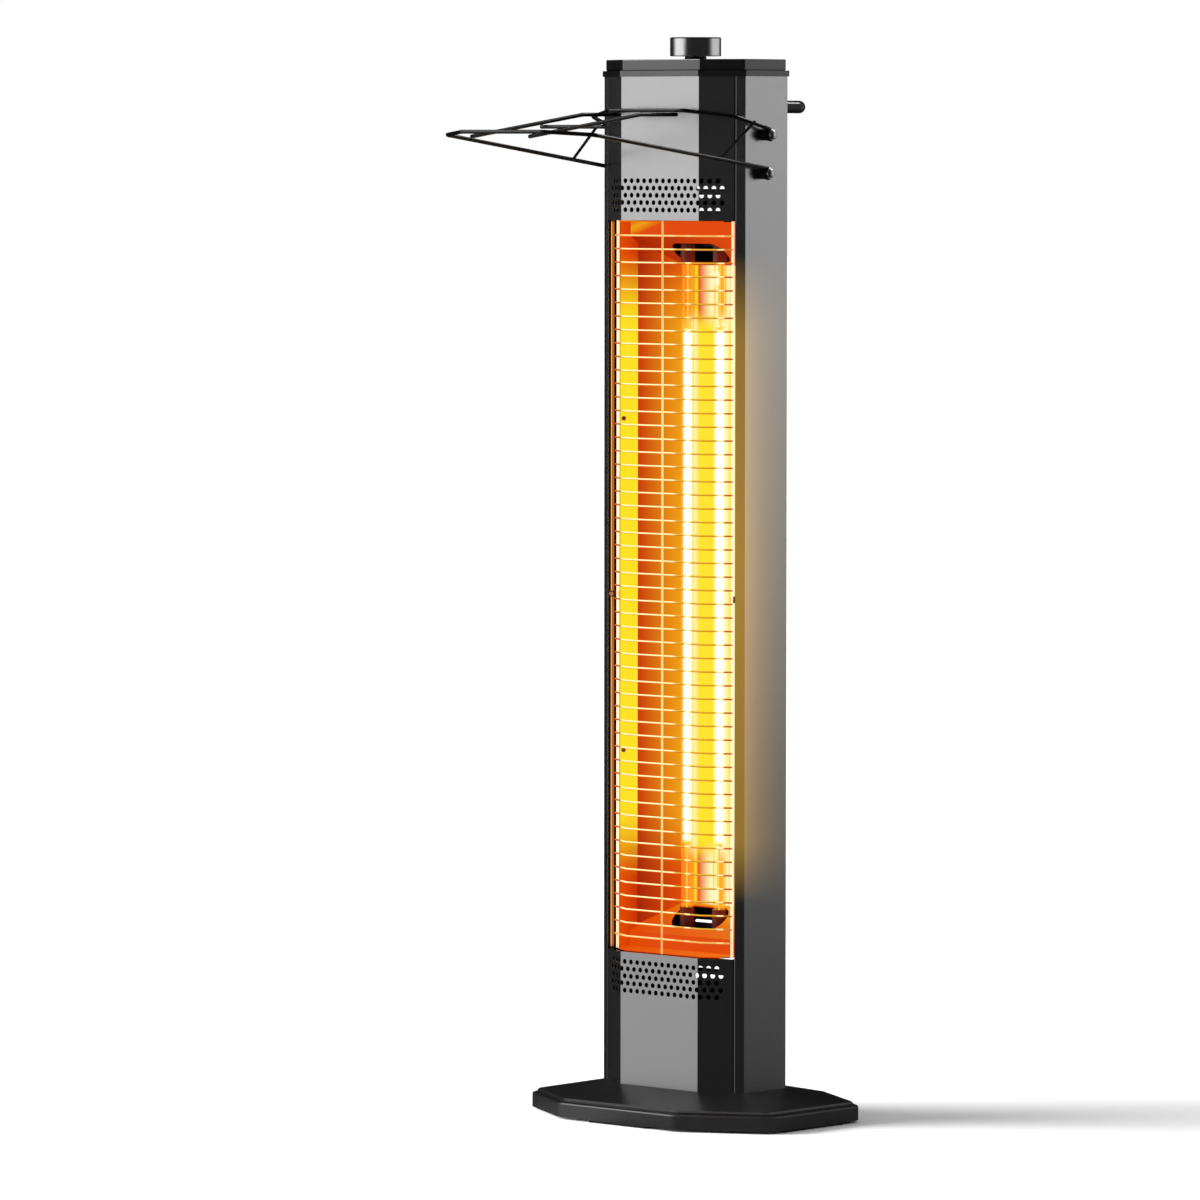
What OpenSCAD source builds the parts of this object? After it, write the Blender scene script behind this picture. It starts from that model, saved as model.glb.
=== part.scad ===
// Infrared patio heater tower: two quartz lamps in a folded reflector behind a wire grille,
// an eight-sided sheet-steel column on a weighted base, a rotary switch on top,
// a welded wire rack in front and a bar handle behind.
// The origin is on the floor under the column's axis. The front faces -Y and up is +Z.

/* [Column] */
// Width of the column across its side faces
body_w = 188.8; // [180:0.2:210]
// Depth of the column from front face to rear face
body_d = 106; // [102:0.5:116]
// Width of the flat front face, also of the rear face
face_w = 103.4; // [98:0.2:108]
// Depth of the flat part of each side face
side_w = 62.6; // [58:0.2:66]
// Height of the column's lower edge above the floor
body_z0 = 32.3; // [30:0.1:40]
// Height of the column's upper edge, where the cap's rim sits
body_z1 = 1040.9; // [1030:0.1:1060]
// Thickness of the column's sheet steel
sheet = 1.2; // [0.8:0.1:1.5]
// Length of a front chamfer that belongs to the front panels
seam_run = 37.7; // [34:0.1:40]

/* [Heating opening] */
// Height of the opening's lower edge
open_z0 = 165.6; // [150:0.1:180]
// Height of the opening's upper edge
open_z1 = 898.1; // [880:0.1:905]
// Outer diameter of a quartz lamp tube
lamp_d = 12; // [10:0.5:13]
// Distance between the two lamps' axes
lamp_pitch = 43.2; // [40:0.2:46]
// Depth of the lamps' axes behind the column's axis
lamp_y = 13; // [11:0.5:14]
// Diameter of a glowing element
glow_d = 7; // [5:0.5:8]
// Length of a glowing element
glow_len = 519; // [480:1:540]
// Outer diameter of a ceramic lamp end
ceramic_d = 14.6; // [14.4:0.2:16]

/* [Reflector] */
// Half width of the reflector at its front edges
refl_front_x = 80.5; // [79:0.5:81]
// Depth of the reflector's front edges in front of the column's axis
refl_front_y = 23; // [22:0.5:24]
// Half width at the fold between side wall and slanted back
refl_fold_x = 73.5; // [71:0.5:75]
// Depth of that fold in front of the column's axis
refl_fold_y = 4.5; // [3:0.5:6]
// Half width of the flat back
refl_back_x = 36; // [34:0.5:40]
// Depth of the flat back behind the column's axis
refl_back_y = 24; // [23:0.5:28]
// Thickness of the reflector's bright sheet
refl_t = 0.8; // [0.6:0.1:1]

/* [Grille] */
// Number of level grille wires
grille_count = 53; // [41:1:55]
// Distance from wire to wire
grille_pitch = 13.5; // [12.5:0.1:13.6]
// Diameter of a level grille wire
grille_d = 1.8; // [1.4:0.1:2]
// Diameter of the upright wires that carry them
upright_d = 2.8; // [2.2:0.1:3]
// Depth of the grille wires' axes behind the column's front face
grille_inset = 6.7; // [6:0.1:7.5]

/* [Vents] */
// Diameter of a vent hole
vent_d = 5; // [4:0.2:5.4]
// Distance from hole to hole along a row
vent_pitch = 8.4; // [7.8:0.1:8.6]
// Distance from row to row
vent_row = 7.22; // [6.6:0.02:7.4]
// Number of rows in a vent
vent_rows = 5; // [3:1:5]
// Height of the upper vent's middle row
vent_z_top = 922.95; // [920:0.05:940]
// Height of the lower vent's middle row
vent_z_low = 141.45; // [125:0.05:145]
// Length of a slot in the rear face
slot_w = 92; // [60:1:94]
// Height of a slot
slot_h = 5; // [3:0.2:6]
// Distance from slot to slot
slot_pitch = 11; // [9:0.5:14]
// Number of slots in each of the two rear groups
slot_count = 6; // [3:1:8]
// Height of the uppermost rear slot
slot_z_top = 931.3; // [925:0.1:940]
// Height of the lowest rear slot
slot_z_low = 133.8; // [130:0.1:140]

/* [Base] */
// Width of the base
base_w = 325; // [300:1:360]
// Depth of the base
base_d = 235; // [215:1:260]
// Width of the base's straight front edge
base_front_w = 154; // [140:1:180]
// Depth of the base's straight side edges
base_side_w = 134.7; // [120:0.5:150]
// Radius of the base's eight upright corners
base_corner_r = 18; // [8:1:24]
// Height of the base's upright skirt above its lower edge
skirt_h = 14.8; // [12:0.2:16]
// Wall of the base's cover
cover_t = 2.2; // [1.6:0.1:2.5]
// Height of the four foot pads
foot_h = 2.5; // [2:0.1:4]
// Thickness of the steel weight plate
plate_t = 6; // [4:0.5:8]

/* [Cap and knob] */
// Height of the cap's projecting rim
rim_h = 5.8; // [4:0.1:8]
// Distance by which the rim stands out from the column
rim_out = 1.6; // [1:0.1:3]
// Height of the cap's lid above its groove
lid_h = 9.9; // [8:0.1:14]
// Distance by which the lid's sides stand in from the column
lid_in = 2.6; // [2:0.1:4]
// Diameter of the control knob
knob_d = 51; // [44:0.5:60]
// Height of the control knob
knob_h = 18.8; // [16:0.2:24]
// Diameter of the round nut under the knob
nut_d = 21.6; // [18:0.2:26]
// Diameter of the switch's shaft
shaft_d = 6; // [5:0.1:6.4]

/* [Rack] */
// Diameter of the rack's wire
rack_d = 4; // [3:0.1:4.4]
// Half width of the rack at its front corners
rack_corner_x = 98.2; // [97:0.2:104]
// Reach of the rack's front bar in front of the column's axis
rack_reach = 281.5; // [240:0.5:300]
// Distance from the column's upper edge down to the rack's front bar
rack_front_drop = 55.1; // [46:0.1:61]
// Distance from the column's upper edge down to the rack's inner bar
rack_inner_drop = 33.7; // [26:0.1:38]
// Half distance between the two ribs
rib_x = 38.7; // [30:0.1:44]
// Diameter of the thinner struts between the two frames
strut_d = 3; // [2.4:0.1:4]
// Distance from the column's upper edge down to the upper pair of rack screws
rack_drop = 57.6; // [54:0.1:60]
// Distance between the upper and the lower pair of rack screws
rack_screw_pitch = 38.2; // [34:0.1:42]
// Length of the standoffs that hold the rack off the column
standoff_len = 6; // [5:0.1:10]
// Diameter of a standoff
standoff_d = 12; // [11:0.1:13]

/* [Handle] */
// Diameter of the carry handle's bar
handle_d = 12.5; // [10:0.5:14]
// Distance between the handle's two legs
handle_span = 128; // [120:1:132]
// Distance from the column's upper edge down to the handle
handle_drop = 30; // [21:0.1:38]
// Distance from the column's rear face to the middle of the bar
handle_reach = 40; // [32:0.5:46]

/* [Hidden] */

// Overrun by which every cut passes the face it opens
over = 1;
// Gap between two seated pieces that are not in face contact
seat_gap = 0.3;
// Radial clearance of the running shaft
run_gap = 0.05;
// Visible seam between the front panels and the column's sheet
seam_gap = 0.5;
// Depth of the flanges folded in along the seams and the opening
flange = 7;
round_fn = 48;
wire_fn = 24;

// Run of a chamfer across and along the column, and its angle from the front face
cham_x = (body_w - face_w) / 2;
cham_y = (body_d - side_w) / 2;
cham_a = atan2(cham_y, cham_x);
open_mid = (open_z0 + open_z1) / 2;

// Corners of an eight-sided outline, starting at the left end of the front edge
function eight(w, d, fw, sw) = [
    [-fw / 2, -d / 2], [fw / 2, -d / 2], [w / 2, -sw / 2], [w / 2, sw / 2],
    [fw / 2, d / 2], [-fw / 2, d / 2], [-w / 2, sw / 2], [-w / 2, -sw / 2]
];
// The column's outline moved in by t on every face
function body_in(t) = eight(
    body_w - 2 * t, body_d - 2 * t,
    face_w - 2 * t * tan(cham_a / 2), side_w - 2 * t * tan((90 - cham_a) / 2));
// A point s along the right front chamfer from its front corner, t behind its surface
function on_chamfer(s, t) = [
    face_w / 2 + s * cos(cham_a) - t * sin(cham_a),
    -body_d / 2 + s * sin(cham_a) + t * cos(cham_a)
];
// Y of the rear face or its chamfers at the distance x from the middle, t behind the surface
function rear_y(x, t) =
    body_d / 2 - t - max(x - face_w / 2 + t * tan(cham_a / 2), 0) * tan(cham_a);
function flipped(pts) = [for (i = [len(pts) - 1:-1:0]) pts[i]];
function mirrored_x(pts) = [for (p = flipped(pts)) [-p[0], p[1]]];
function unit(v) = v / norm(v);

// Arc of radius r that rounds the corner b of a path a, b, c, as n + 1 points
function corner_arc(a, b, c, r, n) =
    let (u = unit(a - b), w = unit(c - b), th = acos(u * w), turn = 180 - th,
         o = b + unit(u + w) * (r / sin(th / 2)), reach = r / tan(th / 2),
         v0 = b + u * reach - o, v1 = b + w * reach - o)
    [for (i = [0:n]) o + (sin((1 - i / n) * turn) * v0 + sin(i / n * turn) * v1) / sin(turn)];
// A closed outline with every corner rounded
function rounded_loop(p, r, n) =
    let (m = len(p))
    [for (i = [0:m - 1]) each corner_arc(p[(i + m - 1) % m], p[i], p[(i + 1) % m], r, n)];
// Outline of a sheet of thickness t whose one side follows the path p, with mitred bends
function sheet_outline(p, t) =
    let (m = len(p),
         dirs = [for (i = [0:m - 2]) unit(p[i + 1] - p[i])],
         norms = [for (d = dirs) [-d[1], d[0]]],
         off = [for (i = [0:m - 1])
             i == 0 ? norms[0] * t
             : i == m - 1 ? norms[m - 2] * t
             : (norms[i - 1] + norms[i]) * t / (1 + norms[i - 1] * norms[i])])
    concat(p, [for (i = [m - 1:-1:0]) p[i] + off[i]]);

// Children drawn at the point a, with their z axis turned to point along v
module aim(a, v) {
    translate(a) rotate([0, acos(v[2] / norm(v)), atan2(v[1], v[0])]) children();
}

// A straight round rod from a to b
module rod(a, b, d, fn = wire_fn) {
    aim(a, b - a) cylinder(d = d, h = norm(b - a), $fn = fn);
}

// Angle through which a path turns at its corner i, none at its ends
function turn_at(p, i) =
    i == 0 || i == len(p) - 1 ? 0 : acos(unit(p[i] - p[i - 1]) * unit(p[i + 1] - p[i]));

// Children drawn in the plane of a ring round o that starts at s and sets off along v
module ring_frame(o, s, v) {
    x = unit(s - o);
    z = cross(x, v);
    multmatrix([
        [x[0], v[0], z[0], o[0]],
        [x[1], v[1], z[1], o[1]],
        [x[2], v[2], z[2], o[2]]]) children();
}

// A wire along a path of points with round bends of radius r. Each bend is a hair thicker than
// the straight runs, which reach a short way into it.
bend_share = 1.02;
lap_share = 0.06;
module wire(p, r, d, share = bend_share, fn = wire_fn) {
    n = len(p) - 1;
    turns = [for (i = [0:n]) turn_at(p, i)];
    lap = d * lap_share;
    for (i = [0:n - 1]) {
        dir = unit(p[i + 1] - p[i]);
        from = i > 0 ? r * tan(turns[i] / 2) - lap : 0;
        to = i + 1 < n ? r * tan(turns[i + 1] / 2) - lap : 0;
        rod(p[i] + dir * from, p[i + 1] - dir * to, d, fn);
    }
    for (i = [1:n - 1]) {
        in_dir = unit(p[i] - p[i - 1]);
        out_dir = unit(p[i + 1] - p[i]);
        s = p[i] - in_dir * r * tan(turns[i] / 2);
        o = s + unit(out_dir - in_dir * (in_dir * out_dir)) * r;
        ring_frame(o, s, in_dir)
            rotate_extrude(angle = turns[i], $fn = 2 * fn)
                translate([r, 0]) circle(d = d * share, $fn = fn);
    }
}

// A flat plate of the given outline between two heights
module slab(outline, z0, z1) {
    translate([0, 0, z0]) linear_extrude(z1 - z0) polygon(outline);
}

// A round hole or boss along Y at x, z from y0 to y1
module along_y(x, z, y0, y1, d, fn = round_fn) {
    translate([x, y0, z]) rotate([-90, 0, 0]) cylinder(d = d, h = y1 - y0, $fn = fn);
}

// The same on the right and on the left
module both_sides() {
    children();
    mirror([1, 0, 0]) children();
}

// Vent holes

vent_fn = 24;
vent_half = (vent_rows - 1) / 2;
// Number of holes to each side of the middle in a row
vent_reach = floor((face_w / 2 + seam_run - flange - vent_d) / vent_pitch);

// One hole of a vent, a distance s round the bent front panel from its middle
module panel_hole(s) {
    depth = 2 * sheet + over;
    if (s <= face_w / 2)
        translate([s, -body_d / 2 - over, 0]) rotate([-90, 0, 0])
            cylinder(d = vent_d, h = depth, $fn = vent_fn);
    else
        translate(concat(on_chamfer(s - face_w / 2, -over), [0])) rotate([-90, 0, cham_a])
            cylinder(d = vent_d, h = depth, $fn = vent_fn);
}

// The staggered holes of a front vent around the height z
module panel_vent(z) {
    for (row = [0:vent_rows - 1]) {
        shift = row % 2 == 0 ? vent_pitch / 2 : 0;
        translate([0, 0, z + (row - vent_half) * vent_row])
            for (k = [0:vent_reach])
                if (k * vent_pitch + shift < vent_reach * vent_pitch + vent_pitch / 2) {
                    panel_hole(k * vent_pitch + shift);
                    if (k * vent_pitch + shift > 0)
                        mirror([1, 0, 0]) panel_hole(k * vent_pitch + shift);
                }
    }
}

// A group of round-ended slots in the rear face, from the height z upward
module rear_vent(z) {
    y0 = body_d / 2 - 2 * sheet;
    y1 = body_d / 2 + over;
    run = slot_w - slot_h;
    for (k = [0:slot_count - 1]) translate([0, 0, z + k * slot_pitch]) {
        translate([-run / 2, y0, -slot_h / 2]) cube([run, y1 - y0, slot_h]);
        both_sides() along_y(run / 2, 0, y0, y1, slot_h, vent_fn);
    }
}

// Base

base_z0 = foot_h;
skirt_top = base_z0 + skirt_h;
corner_steps = 5;
// Rounding of the skirt's upper edge and of the cover's raised edge
edge_r = 1.8;
// Width of the ledge between skirt and raised cover
ledge = 3.4;
// Height of the raised cover's edge over the ledge
step_h = 3.6;
// Width of the flat seat round the column's foot
foot_seat = 1.2;
// Width of the cover's flat top inside the column
seat_in = 32;

function base_in(t) =
    let (ax = (base_w - base_front_w) / 2, ay = (base_d - base_side_w) / 2, a = atan2(ay, ax))
    rounded_loop(
        eight(base_w - 2 * t, base_d - 2 * t,
            base_front_w - 2 * t * tan(a / 2), base_side_w - 2 * t * tan((90 - a) / 2)),
        base_corner_r - t, corner_steps);
// A ring round the column with as many points as the base's outline
seat_corner_r = 2;
function seat_ring(t) = rounded_loop(body_in(t), seat_corner_r, corner_steps);
function lifted(ring, z) = [for (p = ring) [p[0], p[1], z]];

// A closed skin through rings that follow each other round the wall's section
module ring_skin(rings) {
    n = len(rings[0]);
    m = len(rings);
    polyhedron(
        points = [for (ring = rings) each ring],
        faces = [for (i = [0:m - 1], j = [0:n - 1])
            let (a = i * n + j, b = i * n + (j + 1) % n,
                 c = ((i + 1) % m) * n + (j + 1) % n, d = ((i + 1) % m) * n + j)
            each [[a, c, b], [a, d, c]]],
        convexity = 6);
}

module base_cover() {
    color("#2a2b2d")
    difference() {
        ring_skin([
            lifted(base_in(0), base_z0),
            lifted(base_in(0), skirt_top - edge_r),
            lifted(base_in(edge_r / 3), skirt_top - edge_r / 3),
            lifted(base_in(edge_r), skirt_top),
            lifted(base_in(edge_r + ledge), skirt_top),
            lifted(base_in(edge_r + ledge), skirt_top + step_h - edge_r),
            lifted(base_in(2 * edge_r + ledge), skirt_top + step_h),
            lifted(seat_ring(-foot_seat), body_z0),
            lifted(seat_ring(seat_in), body_z0),
            lifted(seat_ring(seat_in), body_z0 - cover_t),
            lifted(seat_ring(0), body_z0 - cover_t),
            lifted(base_in(2 * edge_r + ledge + cover_t), skirt_top + step_h - cover_t),
            lifted(base_in(edge_r + ledge + cover_t), skirt_top - cover_t),
            lifted(base_in(cover_t), skirt_top - edge_r - cover_t),
            lifted(base_in(cover_t), base_z0)
        ]);
        base_screw_places()
            translate([0, 0, body_z0 - cover_t - over])
                cylinder(d = base_screw_d + 2 * seat_gap, h = cover_t + 2 * over, $fn = wire_fn);
    }
}

// Screws that hold weight plate, cover and column together
base_screw_d = 6;
base_head_d = 11;
base_head_h = 3.4;
// Room round a screw's head in its counterbore
head_room = 0.5;
base_screw_x = body_w / 2 - seat_in / 2;
base_screw_y = side_w / 4;
module base_screw_places() {
    for (x = [-1, 1], y = [-1, 1]) translate([x * base_screw_x, y * base_screw_y, 0]) children();
}

plate_gap = 0.8;
counterbore_h = base_head_h + seat_gap;
module base_plate() {
    color("#3b3b3c")
    difference() {
        slab(base_in(cover_t + plate_gap), base_z0, base_z0 + plate_t);
        base_screw_places() {
            translate([0, 0, base_z0 - over])
                cylinder(d = base_head_d + 2 * head_room, h = counterbore_h + over, $fn = round_fn);
            translate([0, 0, base_z0])
                cylinder(d = base_screw_d + 2 * seat_gap, h = plate_t + over, $fn = wire_fn);
        }
    }
}

foot_long_x = 76;
foot_long_y = 85;
foot_w = 14;
foot_edge = 2;
module foot_pads() {
    color("#161616")
    for (side = [-1, 1]) {
        translate([-foot_long_x / 2, side * (base_d / 2 - foot_edge - foot_w / 2) - foot_w / 2, 0])
            cube([foot_long_x, foot_w, foot_h]);
        translate([side * (base_w / 2 - foot_edge - foot_w / 2) - foot_w / 2, -foot_long_y / 2, 0])
            cube([foot_w, foot_long_y, foot_h]);
    }
}

spacer_d = 14;
module base_spacers() {
    color("#8c8f92")
    base_screw_places() difference() {
        translate([0, 0, base_z0 + plate_t])
            cylinder(d = spacer_d, h = body_z0 - cover_t - base_z0 - plate_t, $fn = round_fn);
        translate([0, 0, base_z0])
            cylinder(d = base_screw_d + 2 * seat_gap, h = body_z0, $fn = wire_fn);
    }
}

nut_h = 5;
nut_w = 11;
foot_plate_t = 3;
module base_screws() {
    color("#9b9da0")
    base_screw_places() {
        translate([0, 0, base_z0 + seat_gap])
            cylinder(d = base_head_d, h = base_head_h, $fn = round_fn);
        translate([0, 0, base_z0 + seat_gap])
            cylinder(d = base_screw_d, h = body_z0 + foot_plate_t + nut_h + over - base_z0,
                $fn = wire_fn);
        translate([0, 0, body_z0 + foot_plate_t]) cylinder(d = nut_w, h = nut_h, $fn = 6);
    }
}

// Folded channel spot-welded inside the column's lower end and bolted down to the base
foot_tab_h = 42;
foot_tab_w = 52;
foot_in = sheet + seat_gap;
module tower_foot() {
    half = body_w / 2 - foot_in;
    color("#a3a6a9")
    difference() {
        union() {
            translate([0, foot_tab_w / 2, 0]) rotate([90, 0, 0])
                linear_extrude(foot_tab_w)
                    polygon(sheet_outline([
                        [-half, body_z0 + foot_tab_h], [-half, body_z0],
                        [half, body_z0], [half, body_z0 + foot_tab_h]], foot_plate_t));
        }
        base_screw_places()
            translate([0, 0, body_z0 - over])
                cylinder(d = base_screw_d + 2 * seat_gap, h = foot_plate_t + 2 * over,
                    $fn = wire_fn);
    }
}

// Domed head of a small screw, standing up from z = 0
module button_head(d) {
    head_r_share = 0.92;
    head_h_share = 0.55;
    rotate_extrude($fn = wire_fn)
        polygon(concat([[0, 0]], [for (a = [0:15:90])
            [d * head_r_share * cos(a), d * head_h_share * sin(a)]]));
}

// Column

shell_flange = [on_chamfer(seam_run, flange), on_chamfer(seam_run + sheet, flange)];
module body_shell() {
    o = body_in(0);
    n = body_in(sheet);
    right_out = [on_chamfer(seam_run, 0), o[2], o[3], o[4]];
    right_in = [n[4], n[3], n[2], on_chamfer(seam_run + sheet, sheet),
        shell_flange[1], shell_flange[0]];
    color("#6f7173")
    difference() {
        slab(concat(right_out, mirrored_x(right_out), mirrored_x(right_in), right_in),
            body_z0, body_z1);
        rear_vent(slot_z_low);
        rear_vent(slot_z_top - (slot_count - 1) * slot_pitch);
        handle_screw_cut();
        service_cut();
        rack_screw_cut();
        both_sides() grille_screw_places()
            translate([0, 0, -clip_wall - seat_gap - 2 * sheet])
                cylinder(d = clip_screw_d + 2 * run_gap, h = clip_wall + 2 * sheet, $fn = wire_fn);
    }
}

// A bent front panel between two heights, with the flange along the opening at z_edge
module front_panel(z0, z1, z_edge) {
    s1 = seam_run - seam_gap;
    o = body_in(0);
    n = body_in(sheet);
    out = [o[1], on_chamfer(s1, 0), on_chamfer(s1, flange), on_chamfer(s1 - sheet, flange),
        on_chamfer(s1 - sheet, sheet), n[1]];
    m = body_in(flange);
    color("#77797b")
    difference() {
        union() {
            slab(concat(out, mirrored_x(out)), z0, z1);
            slab([o[0], o[1], [m[1][0], m[1][1]], [m[0][0], m[0][1]]],
                z_edge, z_edge + sheet);
        }
        children();
    }
}
module upper_front_panel() {
    front_panel(open_z1, body_z1, open_z1) panel_vent(vent_z_top);
}
module lower_front_panel() {
    front_panel(body_z0, open_z0, open_z0 - sheet) panel_vent(vent_z_low);
}

// Service cover over the terminals, low on the rear face
service_w = 70;
service_h = 64;
service_z = 82;
service_lap = 7;
service_screw_d = 3;
service_t = 1.2;
service_round = 5;
module service_cut() {
    translate([-service_w / 2 + service_lap, body_d / 2 - 2 * sheet, service_z - service_h / 2
        + service_lap])
        cube([service_w - 2 * service_lap, 2 * sheet + over, service_h - 2 * service_lap]);
    service_screw_places()
        along_y(0, 0, body_d / 2 - 2 * sheet, body_d / 2 + over,
            service_screw_d + 2 * seat_gap, wire_fn);
}
module service_screw_places() {
    for (x = [-1, 1], z = [-1, 1])
        translate([x * (service_w - service_lap) / 2, 0,
            service_z + z * (service_h - service_lap) / 2]) children();
}
gland_x = 0;
gland_z = 66;
gland_d = 15;
module rear_cover() {
    plate = rounded_loop([[-service_w / 2, -service_h / 2], [service_w / 2, -service_h / 2],
        [service_w / 2, service_h / 2], [-service_w / 2, service_h / 2]], service_round, 4);
    color("#2d2e30")
    difference() {
        translate([0, body_d / 2 + service_t, service_z]) rotate([90, 0, 0])
            linear_extrude(service_t) polygon(plate);
        service_screw_places()
            along_y(0, 0, body_d / 2 - over, body_d / 2 + service_t + over,
                service_screw_d + 2 * seat_gap, wire_fn);
        along_y(gland_x, gland_z, body_d / 2 - over, body_d / 2 + service_t + over,
            gland_d + 2 * seat_gap);
    }
}
module rear_cover_screws() {
    color("#5a5b5d")
    service_screw_places()
        translate([0, body_d / 2 + service_t, 0]) rotate([-90, 0, 0]) {
            button_head(service_screw_d);
            translate([0, 0, -service_t - 3 * sheet])
                cylinder(d = service_screw_d, h = service_t + 3 * sheet, $fn = wire_fn);
        }
}

// Cord gland in the service cover: the supply lead would leave here
gland_bore = 8.4;
gland_flange_d = 21;
gland_flange_t = 2.6;
gland_out = 12;
gland_in = 9;
// Wall of the gland's dome at its mouth
gland_lip = 2;
gland_step_share = 1.5;
module cord_gland() {
    y0 = body_d / 2 + service_t;
    color("#1b1b1c")
    difference() {
        translate([gland_x, 0, gland_z]) rotate([-90, 0, 0]) rotate_extrude($fn = round_fn)
            polygon([
                [0, y0 - service_t - gland_in], [gland_d / 2, y0 - service_t - gland_in],
                [gland_d / 2, y0], [gland_flange_d / 2, y0],
                [gland_flange_d / 2, y0 + gland_flange_t],
                [gland_d / 2, y0 + gland_flange_t * gland_step_share],
                [gland_bore / 2 + gland_lip, y0 + gland_out], [0, y0 + gland_out]]);
        along_y(gland_x, gland_z, y0 - service_t - gland_in - over, y0 + gland_out + over,
            gland_bore);
    }
}

// Terminal block and tilt switch, on the channel in the column's foot
block_w = 46;
block_d = 18;
block_h = 14;
block_y = 24;
terminal_d = 4.2;
terminal_pitch = 11;
// Slot between two terminals
terminal_gap = 2;
module terminal_block() {
    color("#e6e3da")
    translate([0, block_y, body_z0 + foot_plate_t + seat_gap]) difference() {
        union() {
            translate([-block_w / 2, -block_d / 2, 0]) cube([block_w, block_d, block_h / 2]);
            for (i = [-1.5:1:1.5])
                translate([i * terminal_pitch, 0, 0])
                    translate([(terminal_gap - terminal_pitch) / 2, -block_d / 3, 0])
                        cube([terminal_pitch - terminal_gap, block_d * 2 / 3, block_h]);
        }
        for (i = [-1.5:1:1.5])
            translate([i * terminal_pitch, 0, block_h / 2])
                cylinder(d = terminal_d, h = block_h, $fn = wire_fn);
    }
}
tilt_w = 26;
tilt_d = 20;
tilt_h = 24;
tilt_y = -14;
tilt_box_share = 0.7;
// Step from the tilt switch's box in to its round cap
tilt_step = 1.5;
module tilt_switch() {
    color("#26282b")
    translate([0, tilt_y, body_z0 + foot_plate_t + seat_gap]) {
        translate([-tilt_w / 2, -tilt_d / 2, 0]) cube([tilt_w, tilt_d, tilt_h * tilt_box_share]);
        translate([0, 0, tilt_d / 2]) cylinder(d = tilt_d - 2 * tilt_step, h = tilt_h - tilt_d / 2,
            $fn = round_fn);
    }
}

// Reflector

// Lips turned out along the reflector's front edges
refl_lip_x = 4;
refl_lip_y = 2;
refl_path = [
    [-refl_front_x - refl_lip_x, -refl_front_y - refl_lip_y], [-refl_front_x, -refl_front_y],
    [-refl_fold_x, -refl_fold_y],
    [-refl_back_x, refl_back_y], [refl_back_x, refl_back_y], [refl_fold_x, -refl_fold_y],
    [refl_front_x, -refl_front_y], [refl_front_x + refl_lip_x, -refl_front_y - refl_lip_y]
];
refl_z0 = open_z0 + sheet;
refl_z1 = open_z1 - sheet;
module reflector() {
    color("#e8902a")
    difference() {
        slab(flipped(sheet_outline(refl_path, refl_t)), refl_z0, refl_z1);
        rivet_places() translate([0, 0, -over])
            cylinder(d = rivet_d + 2 * seat_gap, h = refl_t + 2 * over, $fn = wire_fn);
    }
}

// Place on the outside of each reflector side wall, with z along the wall's outward normal
rivet_d = 3;
rivet_half = 167;
rivet_share = 0.2;
rivet_head_share = 1.5;
rivet_a = atan2(refl_front_y - refl_fold_y, refl_front_x - refl_fold_x);
module rivet_places() {
    both_sides() for (z = [-1, 1])
        translate([
            refl_front_x + (refl_fold_x - refl_front_x) * rivet_share,
            -refl_front_y + (refl_front_y - refl_fold_y) * rivet_share,
            open_mid + z * rivet_half]) rotate([0, 90, 90 - rivet_a]) children();
}
module reflector_rivets() {
    color("#3a1c10")
    rivet_places() {
        translate([0, 0, -rivet_d / 3])
            cylinder(d = rivet_d * rivet_head_share, h = rivet_d / 3, $fn = wire_fn);
        translate([0, 0, -over / 2]) cylinder(d = rivet_d, h = refl_t + bracket_t + over,
            $fn = wire_fn);
    }
}

// Sheet brackets that hold the reflector's side walls to the column
bracket_t = 1;
bracket_h = 22;
bracket_tab = 12;
module reflector_brackets() {
    wall = refl_t + seat_gap;
    dir = [refl_fold_x - refl_front_x, refl_front_y - refl_fold_y] /
        norm([refl_fold_x - refl_front_x, refl_front_y - refl_fold_y]);
    out = [dir[1], -dir[0]];
    p0 = [refl_front_x, -refl_front_y] + out * wall + dir * bracket_t;
    p1 = p0 + dir * bracket_tab;
    side_x = body_w / 2 - sheet - seat_gap - bracket_t;
    color("#b9bcbf")
    difference() {
        both_sides() for (z = [-1, 1])
            slab(flipped(sheet_outline([p0, p1, [side_x, p1[1]], [side_x, p1[1] + bracket_tab]],
                -bracket_t)),
                open_mid + z * rivet_half - bracket_h / 2, open_mid + z * rivet_half
                    + bracket_h / 2);
        rivet_places() cylinder(d = rivet_d + 2 * seat_gap, h = flange, $fn = wire_fn);
    }
}

// End plate of the reflector: a shelf behind the front panel's flange, an upright part and a
// slanted part with an oval hole for both lamp ends
end_t = 1;
// Distance of the shelf's front edges behind the column's faces
end_inset = 6.2;
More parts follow.
